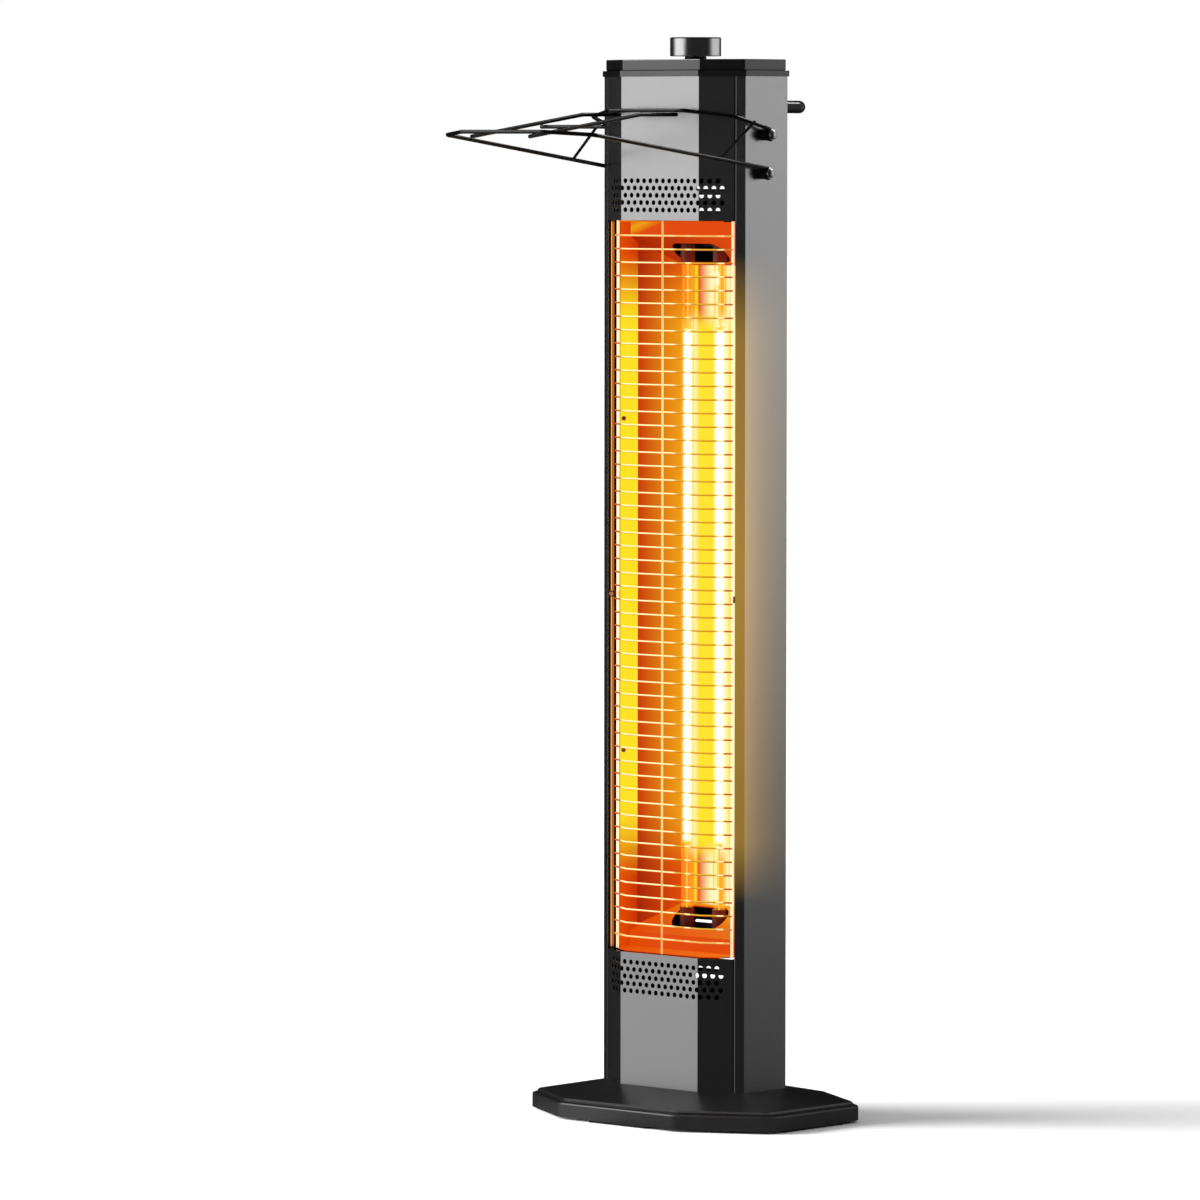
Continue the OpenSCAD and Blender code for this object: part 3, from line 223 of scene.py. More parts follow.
def new_group(name, inputs, outputs):
    """An empty shader group with float inputs and typed outputs."""
    tree = bpy.data.node_groups.new(name, "ShaderNodeTree")
    for label, value in inputs:
        made = tree.interface.new_socket(label, in_out="INPUT", socket_type="NodeSocketFloat")
        made.default_value = value
    for label, kind in outputs:
        tree.interface.new_socket(label, in_out="OUTPUT", socket_type=kind)
    return Shader(tree), tree.nodes.new("NodeGroupInput"), tree.nodes.new("NodeGroupOutput")


# Fine skin: grains of a set size, as a normal
g, skin_in, skin_out = new_group(
    "fine_skin", [("Grain", 900.0), ("Depth", 0.1)], [("Normal", "NodeSocketVector")]
)
where, _, _, _ = g.place()
grain = g.node("ShaderNodeTexNoise")
g.put(grain.inputs["Vector"], where)
g.put(grain.inputs["Scale"], skin_in.outputs["Grain"])
grain.inputs["Detail"].default_value = 2.0
bump = g.node("ShaderNodeBump")
bump.inputs["Distance"].default_value = 0.00006
g.put(bump.inputs["Strength"], skin_in.outputs["Depth"])
g.put(bump.inputs["Height"], grain.outputs["Fac"])
g.put(skin_out.inputs["Normal"], bump.outputs["Normal"])
fine_skin = g.tree

# Handled gloss: wide faint patches that move the roughness up and down
g, gloss_in, gloss_out = new_group(
    "handled_gloss",
    [("Roughness", 0.3), ("Change", 0.05), ("Patch", 22.0)],
    [("Roughness", "NodeSocketFloat"), ("Mask", "NodeSocketFloat")],
)
where, _, _, _ = g.place()
patch = g.node("ShaderNodeTexNoise")
g.put(patch.inputs["Vector"], where)
g.put(patch.inputs["Scale"], gloss_in.outputs["Patch"])
patch.inputs["Detail"].default_value = 5.0
patch.inputs["Roughness"].default_value = 0.62
centred = g.math("SUBTRACT", patch.outputs["Fac"], 0.5)
swing = g.math("MULTIPLY", centred, gloss_in.outputs["Change"])
total = g.math("ADD", swing, gloss_in.outputs["Roughness"], clamp=True)
g.put(gloss_out.inputs["Roughness"], total)
g.put(gloss_out.inputs["Mask"], patch.outputs["Fac"])
handled_gloss = g.tree
print("groups:", fine_skin.name, handled_gloss.name)

# %% [markdown]
# A finish starts from one recipe: a base colour, how metallic it is, how rough, and how deep the
# fine skin lies. The recipe hands back the material with its tree, so a finish that needs more,
# such as a glow, can add it.

# %% Base recipe of a finish


def finish(
    name, shade, metallic, rough, change=0.06, grain=900.0, depth=0.1, patch=22.0, **more
):
    """A Principled material with the shared skin and gloss: (material, shader, principled)."""
    material = bpy.data.materials.new(name)
    material.use_nodes = True
    s = Shader(material.node_tree)
    principled = material.node_tree.nodes["Principled BSDF"]
    skin = s.group(fine_skin, grain=grain, depth=depth)
    gloss = s.group(handled_gloss, roughness=rough, change=change, patch=patch)
    darker = tuple(0.93 * c for c in shade[:3]) + (1.0,)
    s.put(principled.inputs["Base Color"], s.blend(gloss.outputs["Mask"], darker, shade))
    s.put(principled.inputs["Roughness"], gloss.outputs["Roughness"])
    s.put(principled.inputs["Normal"], skin.outputs["Normal"])
    principled.inputs["Metallic"].default_value = metallic
    for label, value in more.items():
        label = label.replace("_", " ").title().replace("Ior", "IOR")
        principled.inputs[label].default_value = value
    return material, s, principled


def lay_over(s, principled, share, shade):
    """Lays a screen colour over the base colour where a mask says so."""
    base = principled.inputs["Base Color"]
    s.put(base, s.blend(share, base.links[0].from_socket, colour(shade)))


def glow(s, principled, shade, power=1.0):
    """Gives a finish light of its own, in one colour or in what a socket carries."""
    s.put(principled.inputs["Emission Color"], shade)
    principled.inputs["Emission Strength"].default_value = power


print("recipe ready")

# %% [markdown]
# ## Glow
# The heater is on, and the light of its lamps on the parts around them is painted on as emission.
# It lies on the folded reflector from inside, deep orange where the metal turns away from the lamps
# and yellow where it faces them, and redder towards both ends. It also lies faintly on the sheet
# beside the opening. One group gives how far a point lies inside the lit height, and the materials
# use it for their own glow colours.

# %% Shared group: lit height
open_low, open_high = 165.6, 898.1

g, lit_in, lit_out = new_group(
    "lit_height",
    [("Low", 0.2), ("High", 0.87), ("Fade", 0.06)],
    [("Share", "NodeSocketFloat")],
)
_, _, _, height = g.place()
low, high, fade = (lit_in.outputs[label] for label in ("Low", "High", "Fade"))
from_low = g.spread(height, low, g.math("ADD", low, fade))
to_high = g.spread(height, high, g.math("SUBTRACT", high, fade))
g.put(lit_out.inputs["Share"], g.math("MULTIPLY", from_low, to_high))
lit_height = g.tree


def lit_share(s, low, high, fade):
    """The group as one value, with its heights in millimetres."""
    return s.group(lit_height, low=mm(low), high=mm(high), fade=mm(fade)).outputs["Share"]


print("group:", lit_height.name)

# %% [markdown]
# The lamps' light is painted on the sheet as emission. It runs from dark red over orange and gold
# to white as the sheet gets nearer to the lamps. A short list of such painted light colours,
# rounded, is what most of the glow below is mixed from. Its ramps have stops where the sheet folds,
# where a lamp stands and where a wire catches its light.

# %% Painted lamp light colours
painted_light = {label: colour(shade) for label, shade in (
    ("faintest_glow", "200400"), ("maroon", "600c00"), ("deep", "a02000"), ("red", "c83000"),
    ("flame", "e04800"), ("orange", "e87010"), ("amber", "f0a010"), ("gold", "ffe020"),
    ("pale", "fff4b0"), ("white", "fffde0"), ("brass", "d0a020"), ("copper", "b86020"),
)}


def painted_light_ramp(s, value, low, high, stops):
    """A ramp of painted lamp light over a length, with stops of (millimetres, named light colour or
    screen colour).
    """
    reach = high - low
    share = s.math("ADD", s.math("MULTIPLY", value, 1000 / reach), -low / reach)
    return s.ramp(share, [
        ((place - low) / reach, painted_light.get(shade) or colour(shade)) for place, shade in stops])


print(len(painted_light), "heat colours")

# %% [markdown]
# ## Column paint
# The column is bent sheet steel with a satin metallic coating. In the photo its front mirrors a
# pale softbox and its chamfers mirror the dark side of the studio, which only a metallic surface of
# middling roughness does. The lamps throw warm light out to the right. It is painted as an emission
# on the strip beside the opening and dies away along the side face, falling off exponentially with
# the distance from the fold. On the left only the folded edge beside the opening carries painted
# lamp light, and the depth behind the chamfer tells its dark, pale and orange lines apart; the pale
# line is a painted highlight. The inner side of the sheet is painted near black, as shade. The seam
# of the front panels is a real gap, but thinner than a pixel from the camera, so the paint also
# lays painted shade on its edge and a painted highlight on the fold behind it.

# %% Column paint
body_half, face_half, half_depth, side_reach = mm(94.4), mm(51.7), mm(53.0), mm(31.3)
chamfer = math.radians(26.86)
warm_reach = mm(34)
# The seam's gap with its painted shade, the fold behind it with its painted highlight, and the
# flange, from the front's corner outward
seam_gap = mm(32.3, 32.5, 33.5, 33.6)
seam_fold = mm(33.6, 33.7, 34.2, 34.4)
flange_strip = mm(26.0, 26.4, 34.2, 34.5)


def column_finish(name, shade):
    """The satin coating with its seams, painted shade on its inner side, a painted highlight on the
    seam's fold and painted light from the lamps.
    """
    material, s, principled = finish(
        name, colour(shade), 1.0, 0.24, change=0.03, grain=1400.0, depth=0.05, patch=9.0
    )
    _, x, y, z = s.place()
    wide, deep = s.math("ABSOLUTE", x), s.math("ABSOLUTE", y)
    forward = s.math("LESS_THAN", y, 0.0)

    # How far behind the three outer faces a point lies
    outward = s.math("SUBTRACT", wide, face_half)
    behind = s.math("SUBTRACT", half_depth, deep)
    depth = s.math(
        "SUBTRACT", s.product(behind, math.cos(chamfer)), s.product(outward, math.sin(chamfer))
    )
    to_side = s.math("SUBTRACT", body_half, wide)
    inward = s.math("MINIMUM", s.math("MINIMUM", to_side, behind), depth)
    inside = s.spread(inward, mm(0.5), mm(0.8))
    by_opening = lit_share(s, open_low, open_high, 4)

    # Seam of the front panels, above and below the opening: painted shade in its gap, a painted
    # highlight on its fold
    on_front = s.product(forward, s.opposite(by_opening))
    fold = s.product(s.band(outward, *seam_fold), on_front, s.opposite(inside))
    lay_over(s, principled, s.product(s.band(outward, *seam_gap), on_front), "0a0a0a")
    # Painted shade: the inner side of the sheet is laid over near black
    lay_over(s, principled, inside, "0c0806")

    # Left of the opening: painted lamp light on the edge of the flange, with a painted highlight
    # line
    leftward = s.math("LESS_THAN", x, 0.0)
    in_flange = s.product(s.band(outward, *flange_strip), forward, by_opening, leftward)
    edge = s.blend(in_flange, (0, 0, 0, 1), painted_light_ramp(s, depth, 0, 20, (
        (0, "faintest_glow"), (3.5, "faintest_glow"), (3.75, "pale"), (4.3, "amber"), (4.6, "copper"),
        (6.8, "copper"), (7.2, "maroon"), (20, "faintest_glow"))))

    # Right of the opening: painted warm lamp light that falls off behind the fold, and with the
    # height
    beyond = s.math("MAXIMUM", s.math("ADD", y, side_reach), 0.0)
    falling = s.math("EXPONENT", s.product(beyond, -1 / warm_reach))
    right_side = s.product(falling, s.spread(x, mm(84.0), mm(85.0)))
    upward = s.ramp(z, [(place, (share, share, share, 1)) for place, share in (
        (0.222, 0), (0.282, 0.75), (0.55, 1), (0.78, 0.75), (0.865, 0))])
    warm = s.blend(
        s.product(right_side, s.opposite(inside)), edge,
        s.blend(1.0, colour("a37d2c"), upward, "MULTIPLY"),
    )
    # The painted highlight on the seam's fold lies over the painted lamp light
    glow(s, principled, s.blend(fold, warm, colour("585858")))
    return material


column_paint = column_finish("column_paint", "b7b7b7")
print("finish:", column_paint.name)

# %% [markdown]
# ## Dark coverings
# Base, cap, knob, rack and handle are all black, but not the same black. The base and cap are
# satin covers, and a dark groove parts the cap's lid from its rim. The knob is polished, and the
# wire of rack and handle has a hard gloss that gives a thin highlight along its length.

# %% Black finishes
cover_black = finish(
    "cover_black", colour("5c5c5d"), 0.8, 0.38, grain=2200.0, depth=0.25,
    Specular_Tint=(0.3, 0.3, 0.3, 1), Specular_IOR_Level=0.2,
)[0]
cap_black, s, principled = finish(
    "cap_black", colour("656566"), 1.0, 0.3, grain=2000.0, depth=0.12,
    Specular_Tint=(0.15, 0.15, 0.15, 1),
)
groove = mm(1046.6, 1046.75, 1047.35, 1047.5)
# Painted shade: the groove between the lid and the rim is laid over near black
lay_over(s, principled, s.band(s.place()[3], *groove), "0a0a0a")
knob_black, s, principled = finish(
    "knob_black", colour("e0e0e0"), 1.0, 0.2, change=0.03, depth=0.03
)
# Painted shade: the knob's top edge is darkened, so that its bevel mirrors less light
lay_over(s, principled, s.spread(s.place()[3], mm(1078.5), mm(1078.9)), "202020")
nut_black = finish("nut_black", colour("101010"), 0.0, 0.25)[0]
wire_black = finish(
    "wire_black", colour("080808"), 0.0, 0.16, change=0.03, grain=1500.0, depth=0.03,
    Specular_IOR_Level=0.24,
)[0]
gland_black = finish("gland_black", colour("1c1c1d"), 0.0, 0.45, grain=1600.0, depth=0.3)[0]
pad_rubber = finish("pad_rubber", colour("1b1b1b"), 0.0, 0.75, grain=1100.0, depth=0.5)[0]
print("six blacks and one rubber made")

# %% Plain metals and inner parts
zinc = finish("zinc", colour("a9abad"), 1.0, 0.34, grain=1200.0, depth=0.15)[0]
screw_dark = finish("screw_dark", colour("c4c4c6"), 1.0, 0.24, grain=1500.0, depth=0.1)[0]
weight_steel = finish("weight_steel", colour("3d3c3b"), 0.4, 0.6, grain=500.0, depth=0.6)[0]
block_plastic = finish("block_plastic", colour("d8d4c8"), 0.0, 0.45)[0]
print("metals ready")

# %% [markdown]
# ## The lit reflector
# Three folds show: a side wall, a slanted wall and the flat back behind the lamps. The lamps' light
# on them is painted on as emission. The distance from the middle tells the walls apart, so a colour
# ramp over |x| gives each its own glow, and a second ramp holds the redder colours of both ends.
# The flat back is lit by both lamps at once and mirrors them, so it has two ramps of its own over
# x, holding painted light and painted reflections of the lamps. The height blends them.

# %% Reflector glow
black = (0.0, 0.0, 0.0, 1.0)
lamp_middle = mm(531.0)
reflected_ceramic_across, reflected_ceramic_along = mm(2.3, 3.3, 12.4, 13.2), mm(300.0, 304.0, 314.0, 317.0)

reflector_glow, s, principled = finish(
    "reflector_glow", colour("241006"), 0.5, 0.45, change=0.08, grain=700.0, depth=0.2, patch=60.0
)
_, x, _, z = s.place()
wide = s.math("ABSOLUTE", x)
walls = s.blend(
    lit_share(s, 230, 872, 85),
    painted_light_ramp(s, wide, 0, 90, (
        (36, "flame"), (73.2, "deep"), (73.7, "red"), (80, "flame"), (83, "faintest_glow"))),
    painted_light_ramp(s, wide, 0, 90, (
        (36, "amber"), (73.1, "red"), (73.4, "gold"), (80, "gold"), (81.6, "faintest_glow"))),
)
back = s.blend(
    lit_share(s, 250, 812, 26),
    painted_light_ramp(s, x, -45, 45, (
        (-36, "flame"), (-24, "orange"), (-20, "gold"), (-16, "flame"), (0, "pale"),
        (8, "pale"), (11, "orange"), (18, "amber"), (22, "pale"), (36, "amber"))),
    painted_light_ramp(s, x, -45, 45, (
        (-36, "amber"), (-22, "pale"), (-16, "gold"), (4, "gold"), (8, "white"),
        (18, "white"), (26, "gold"), (36, "white"))),
)
# A painted reflection: the back shows the right lamp's white ceramics near both of its ends
from_middle = s.math("ABSOLUTE", s.math("SUBTRACT", z, lamp_middle))
mirrored = s.product(s.band(x, *reflected_ceramic_across), s.band(from_middle, *reflected_ceramic_along), 0.85)
back = s.blend(mirrored, back, colour("fffdf0"))
on_back = s.math("LESS_THAN", wide, mm(36.2))
lamp_side = s.math("LESS_THAN", s.facing()[1], -0.05)
glow(s, principled, s.blend(lamp_side, black, s.blend(on_back, walls, back)))
print("finish:", reflector_glow.name)

# %% [markdown]
# The end plates are folded sheets too: a shelf, an upright and a slope with an oval hole. The
# lamps' light on them is painted on as emission. Only the side that faces the lamps glows, so the
# face normal masks the glow, and the holes of the front panels stay black. The upper plate is lit
# from below and stays red, and the lower one turns gold toward the back.

# %% End plate glow


def end_plate(name, up, slope, upright, shelf, fold_y=-11.5):
    """Painted lamp light of an end plate: ramps over x for its slope, its upright part and its
    shelf.
    """
    material, s, principled = finish(
        name, colour("120602"), 0.0, 0.6, change=0.08, grain=700.0, depth=0.2, patch=60.0,
        Specular_IOR_Level=0.15,
    )
    _, x, y, z = s.place()

    def over_x(stops, shift=0.0):
        return painted_light_ramp(s, s.math("ADD", x, shift), -90, 90, stops)

    # Lower down on the upper plate's upright its painted bright patch lies further left
    lower_down = 0.0 if up else s.product(s.math("SUBTRACT", mm(open_high), z), 2.8)
    sloping = over_x(slope)
    if up:
        deeper = s.product(s.spread(y, *mm(-6.0, 22.0)), s.spread(x, *mm(-70.0, 30.0)))
        sloping = s.blend(deeper, sloping, colour("f0a010"))
    normal = s.facing()
    upright_face = s.math("LESS_THAN", normal[1], -0.8)
    on_shelf = s.math("LESS_THAN", y, mm(fold_y - 0.3))
    shades = s.blend(on_shelf, sloping, over_x(shelf))
    shades = s.blend(upright_face, shades, over_x(upright, lower_down))
    toward = s.product(normal[2], 1.0 if up else -1.0)
    lamp_side = s.math("MAXIMUM", s.math("GREATER_THAN", toward, 0.1), upright_face)
    glow(s, principled, s.blend(lamp_side, black, shades))
    return material


upper_end_glow = end_plate(
    "upper_end_glow", False,
    ((-75, "deep"), (75, "flame")),
    ((-76, "flame"), (-50, "amber"), (-25, "flame"), (80, "flame")),
    ((-80, "red"), (80, "flame")),
)
lower_end_glow = end_plate(
    "lower_end_glow", True,
    ((-75, "flame"), (75, "orange")),
    ((-80, "flame"), (80, "flame")),
    ((-80, "flame"), (80, "orange")),
)
print("finishes:", upper_end_glow.name, lower_end_glow.name)

# %% Grille, lamp and ceramic glow


def lit_metal(name, middle, ends, power, low=230.0, high=850.0):
    """Bright metal with painted lamp light: one glow colour at mid height and another near the
    ends.
    """
    material, s, principled = finish(name, colour("c8b070"), 0.9, 0.25, depth=0.05)
    share = lit_share(s, low, high, 90.0)
    glow(s, principled, s.blend(share, colour(ends), colour(middle)), power)
    return material


# The grille wires carry painted lamp light: highlights painted where a lamp stands, and a darker
# underside painted as shade
grille_lit, s, principled = finish("grille_lit", colour("40280c"), 0.6, 0.4, depth=0.05)
along = painted_light_ramp(s, s.place()[1], -90, 90, (
    (-66, "copper"), (-61, "pale"), (12, "pale"), (18, "brass"), (28, "brass"), (30, "pale"),
    (35, "pale"), (37, "brass"), (64, "brass"), (66, "pale"), (70, "pale"), (72, "copper")))
upper_side = s.spread(s.facing("Normal")[2], -0.75, 0.05)
shaded = s.blend(upper_side, s.blend(1.0, along, colour("c86428"), "MULTIPLY"), along)
glow(s, principled, s.blend(lit_share(s, 164, 900, 40), colour("f0b868"), shaded), 1.2)
upright_lit = lit_metal("upright_lit", "f4d890", "e4b060", 0.9)
rail_lit = lit_metal("rail_lit", "fff4d8", "fbe0b0", 1.0, 150.0, 900.0)
coil_lit, s, principled = finish("coil_lit", colour("c8b070"), 0.9, 0.3, depth=0.05)
wound = lit_share(s, 273.0, 790.0, 5.0)
glow(s, principled, s.blend(wound, colour("d88810", 0.8), colour("fffdf0")), 1.4)
# The ceramics carry painted lamp light, brighter toward the lamps' middle
ceramic_lit, s, principled = finish(
    "ceramic_lit", colour("1a0a06"), 0.0, 0.5, grain=600.0, depth=0.4
)
from_middle = s.math("ABSOLUTE", s.math("SUBTRACT", s.place()[3], mm(531.85)))
nearer = s.spread(from_middle, mm(352.0), mm(322.0))
glow(s, principled, s.blend(nearer, colour("1c0403"), colour("7a1a08")), 0.7)
hot_sheet = finish("hot_sheet", colour("24120c"), 0.5, 0.55, grain=800.0, depth=0.2)[0]
# The clips carry painted lamp light, bright gold on their inner part and dark red further out
clip_lit, s, principled = finish("clip_lit", colour("2a1008"), 0.3, 0.5, grain=900.0, depth=0.2)
apart = s.math("ABSOLUTE", s.place()[1])
glow(s, principled, painted_light_ramp(s, apart, 0, 100, (
    (0, "f4c008"), (75.5, "f4c008"), (76.5, "4a1406"), (100, "180602"))), 0.9)
clip_screw_lit = lit_metal("clip_screw_lit", "a8562a", "a8562a", 0.5)
print("glowing metals ready")

# %% [markdown]
# A quartz tube is clear, so it takes its colour from the coil inside. Glass with a faint warm
# tint and a trace of gold light is enough. Its transmission stays plain, so that it exports well.

# %% Quartz
quartz, _, principled = finish("quartz", colour("fffaf0"), 0.0, 0.03, change=0.01, depth=0.01)
principled.inputs["Transmission Weight"].default_value = 1.0
principled.inputs["IOR"].default_value = 1.06
principled.inputs["Emission Color"].default_value = colour("ffb428")
principled.inputs["Emission Strength"].default_value = 0.1
print("finish:", quartz.name)

# %% [markdown]
# ## Geometry Nodes for wire
# The grille and the lamps' coils are wire on a path, so one way of building serves both: corner
# points or a spiral make the line, and a round section is swept along it. The cross-head screws
# come from a tree as well. Set Material closes each of them, and `baked` turns the result into a
# plain mesh.

# %% Geometry Nodes helpers


class Tree(Shader):
    """A Geometry Nodes tree with named inputs."""

    def __init__(self, name, inputs):
        tree = bpy.data.node_groups.new(name, "GeometryNodeTree")
        super().__init__(tree)
        tree.interface.new_socket("Geometry", in_out="INPUT", socket_type="NodeSocketGeometry")
        tree.interface.new_socket("Geometry", in_out="OUTPUT", socket_type="NodeSocketGeometry")
        for label, kind, value in inputs:
            made = tree.interface.new_socket(label, in_out="INPUT", socket_type="NodeSocket" + kind)
            if value is not None:
                made.default_value = value
        self.into = tree.nodes.new("NodeGroupInput").outputs
        self.out = tree.nodes.new("NodeGroupOutput").inputs

    def make(self, kind, settings=None, **entries):
        """A node with its inputs set by label, such as fill_caps=True."""
        made = self.node("GeometryNode" + kind, **(settings or {}))
        for label, value in entries.items():
            self.put(made.inputs[label.replace("_", " ").title()], value)
        return made

    def vector(self, *parts):
        """A vector from three numbers or sockets."""
        made = self.node("ShaderNodeCombineXYZ")
        for target, part in zip(made.inputs, parts):
            self.put(target, part)
        return made.outputs[0]

    def join(self, *parts):
        made = self.make("JoinGeometry")
        for part in parts:
            self.put(made.inputs[0], part.outputs[0])
        return made.outputs[0]

    def sweep(self, curve, width, sides):
        """Runs a round section along a curve."""
        radius = self.math("MULTIPLY", width, 0.5)
        section = self.make("CurvePrimitiveCircle", resolution=sides, radius=radius).outputs[0]
        return self.make("CurveToMesh", curve=curve, profile_curve=section, fill_caps=True)

    def close(self, geometry):
        """Realizes instances, sets the material and ends the tree."""
        real = self.make("RealizeInstances", geometry=geometry)
        painted = self.make("SetMaterial", geometry=real.outputs[0], material=self.into["Material"])
        self.put(self.out[0], painted.outputs[0])


def shape(name, points, edges=(), faces=()):
    """An object with a mesh made from points given in millimetres."""
    mesh = bpy.data.meshes.new(name)
    mesh.from_pydata([mm(*p) for p in points], list(edges), list(faces))
    return add(name, mesh)


def chains(name, *lines):
    """An object whose mesh is one or more open chains of edges."""
    points, edges = [], []
    for line in lines:
        edges += [(len(points) + i, len(points) + i + 1) for i in range(len(line) - 1)]
        points += line
    return shape(name, points, edges)


def place_of(made, body, node):
    """Makes a piece move with a body and hides the CAD node that it stands for."""
    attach(made, body)
    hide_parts(node)


def baked(source, tree, name, **values):
    """Runs a tree on an object and keeps the result as a plain mesh object."""
    modifier = source.modifiers.new("nodes", "NODES")
    modifier.node_group = tree
    for item in tree.interface.items_tree:
        key = item.name.lower().replace(" ", "_")
        if item.in_out == "INPUT" and key in values:
            modifier[item.identifier] = values[key]
    graph = bpy.context.evaluated_depsgraph_get()
    graph.update()
    mesh = bpy.data.meshes.new_from_object(source.evaluated_get(graph))
    mesh.name = name
    mesh.shade_smooth()
    mesh.set_sharp_from_angle(angle=math.radians(38))
    bpy.data.objects.remove(source)
    made = add(name, mesh)
    mesh.calc_loop_triangles()
    print(name, len(mesh.loop_triangles), "triangles")
    return made


print("helpers ready")

# %% [markdown]
# A CAD mesh comes as loose flat triangles. After Weld has joined them, this small tree shades the
# round faces smoothly and keeps every edge sharp whose faces meet at more than the given angle.

# %% Tree: smooth by angle
t = Tree("smooth_by_angle", [("Angle", "Float", math.radians(24))])
soft_faces = t.make(
    "SetShadeSmooth", {"domain": "FACE"}, geometry=t.into["Geometry"], shade_smooth=True)
turned_by = t.make("InputMeshEdgeAngle").outputs["Unsigned Angle"]
kept_sharp = t.make(
    "SetShadeSmooth", {"domain": "EDGE"}, geometry=soft_faces.outputs[0],
    selection=t.math("GREATER_THAN", turned_by, t.into["Angle"]), shade_smooth=False)
t.put(t.out[0], kept_sharp.outputs[0])
smooth_by_angle = t.tree
print("tree:", smooth_by_angle.name)

# %% [markdown]
# ## Dressing the CAD nodes
# A CAD node whose shape is right stays, and takes a material. Weld first joins the loose
# triangles of the CAD mesh. Sheet metal has no knife edges, so the visible sheets get a narrow
# bevel: Dissolve makes whole faces of the triangles, which keeps slivers from creasing them, and
# Bevel rounds the edges where two faces meet at an angle. Round pieces are shaded smoothly.

# %% Materials and soft edges on CAD nodes


def dress(name, material, bevel):
    """Gives a CAD node its material, and soft edges, smooth round faces or neither."""
    node = nodes[name]
    node.data.materials.clear()
    node.data.materials.append(material)
    if bevel is None:
        return
    weld = node.modifiers.new("join", "WELD")
    weld.merge_threshold = 0.000002
    if bevel:
        flat = node.modifiers.new("flat", "DECIMATE")
        flat.decimate_type = "DISSOLVE"
        flat.angle_limit = math.radians(1)
        soft = node.modifiers.new("edge", "BEVEL")
        soft.width = bevel
        soft.segments = 2
        soft.limit_method = "ANGLE"
        soft.angle_limit = math.radians(24)
        soft.harden_normals = False
        return
    rounded = node.modifiers.new("smooth", "NODES")
    rounded.node_group = smooth_by_angle
    weighted = node.modifiers.new("weighted", "WEIGHTED_NORMAL")
    weighted.keep_sharp = True


SMOOTH, AS_CUT = 0, None
black_wires = (
    "rack_lower_frame rack_upper_frame rack_ribs rack_crossbar rack_struts carry_handle"
)
for material, bevel, names in (
    (column_paint, mm(0.4), "body_shell upper_front_panel lower_front_panel"),
    (cap_black, SMOOTH, "cap_rim"),
    (cover_black, SMOOTH, "base_cover"),
    (cover_black, mm(0.3), "rear_cover"),
    (pad_rubber, mm(0.4), "foot_pads"),
    (weight_steel, mm(0.6), "base_plate"),
    (zinc, SMOOTH, "base_spacers base_screws tower_foot switch_shaft handle_screws"),
    (gland_black, SMOOTH, "cord_gland tilt_switch rotary_switch"),
    (screw_dark, SMOOTH, "rear_cover_screws"),
    (block_plastic, SMOOTH, "terminal_block"),
    (upper_end_glow, SMOOTH, "upper_reflector_end"),
    (lower_end_glow, SMOOTH, "lower_reflector_end"),
    (hot_sheet, SMOOTH, "reflector_brackets upper_lamp_bracket lower_lamp_bracket thermal_cutout"),
    (ceramic_lit, SMOOTH, "reflector_rivets upper_lamp_ends lower_lamp_ends"),
    (quartz, SMOOTH, "left_lamp_tube right_lamp_tube"),
    (rail_lit, SMOOTH, "grille_side_bars"),
    (clip_lit, SMOOTH, "grille_clips"),
    (clip_screw_lit, SMOOTH, "grille_screws"),
    (nut_black, mm(0.4), "switch_nut"),
    (nut_black, AS_CUT, "rack_standoffs"),
    (knob_black, SMOOTH, "control_knob"),
    (wire_black, mm(0.4), "handle_flanges"),
    (wire_black, SMOOTH, black_wires),
):
    for name in names.split():
        dress(name, material, bevel)
print("dressed the nodes whose CAD shape stays")

# %% [markdown]
# ## Folded reflector
# The CAD reflector is a plain extrusion. The real one is cut to follow its end plates: high in
# front of their upright part, then down along their slope to the flat back. The oval holes of the
# end plates then show the dark chamber with the ceramics. One chain of stations runs round the
# fold. A station where the height jumps has four corners, the others have two, and Solidify
# gives the sheet its thickness.

# %% Reflector sheet
middle_z = 531.85
fold_top, fold_y, fold_slope, sheet_top = 884.3, -11.5, 0.81, 897.1


def edge_height(y):
    """Height over the middle at which the sheet ends, at a depth behind the fold."""
    return fold_top - (y - fold_y) * fold_slope - middle_z


full = sheet_top - middle_z
right_half = [
    (36.0, 24.0, [edge_height(24.0)]),
    (73.5, -4.5, [edge_height(-4.5)]),
    (76.15, fold_y, [edge_height(fold_y), full]),
    (80.5, -23.0, [full]),
    (84.5, -25.0, [full]),
]
stations = [(-x, y, rises) for x, y, rises in reversed(right_half)] + right_half
points, rows = [], []
for x, y, rises in stations:
    heights = [-r for r in reversed(rises)] + list(rises)
    rows.append({h: len(points) + i for i, h in enumerate(heights)})
    points += [(x, y, middle_z + h) for h in heights]
faces = []
for (xa, ya, ra), (xb, yb, rb), low, high in zip(stations, stations[1:], rows, rows[1:]):
    tall = full in ra and full in rb
    left = [low[h] for h in sorted(low) if tall or abs(h) < full]
    far = [high[h] for h in sorted(high) if tall or abs(h) < full]
    faces.append([left[0]] + far + left[:0:-1])
sheet = shape("reflector_sheet", points, faces=faces)
sheet.data.materials.append(reflector_glow)
thick = sheet.modifiers.new("sheet", "SOLIDIFY")
thick.thickness = mm(0.8)
thick.offset = -1
thick.use_even_offset = True
place_of(sheet, "tower", "reflector")
print(sheet.name, len(faces), "folded faces")

# %% [markdown]
# ## Lamps
# Each lamp is a coil of resistance wire in a quartz tube. A spiral curve makes the coil from its
# turns and pitch, and two straight leads run down the tube's axis and step out to the coil.

# %% Tree: wound coil with its leads
coil_turns, coil_pitch, coil_out, coil_wire = 226.0, mm(2.2965), mm(3.9), mm(1.5)

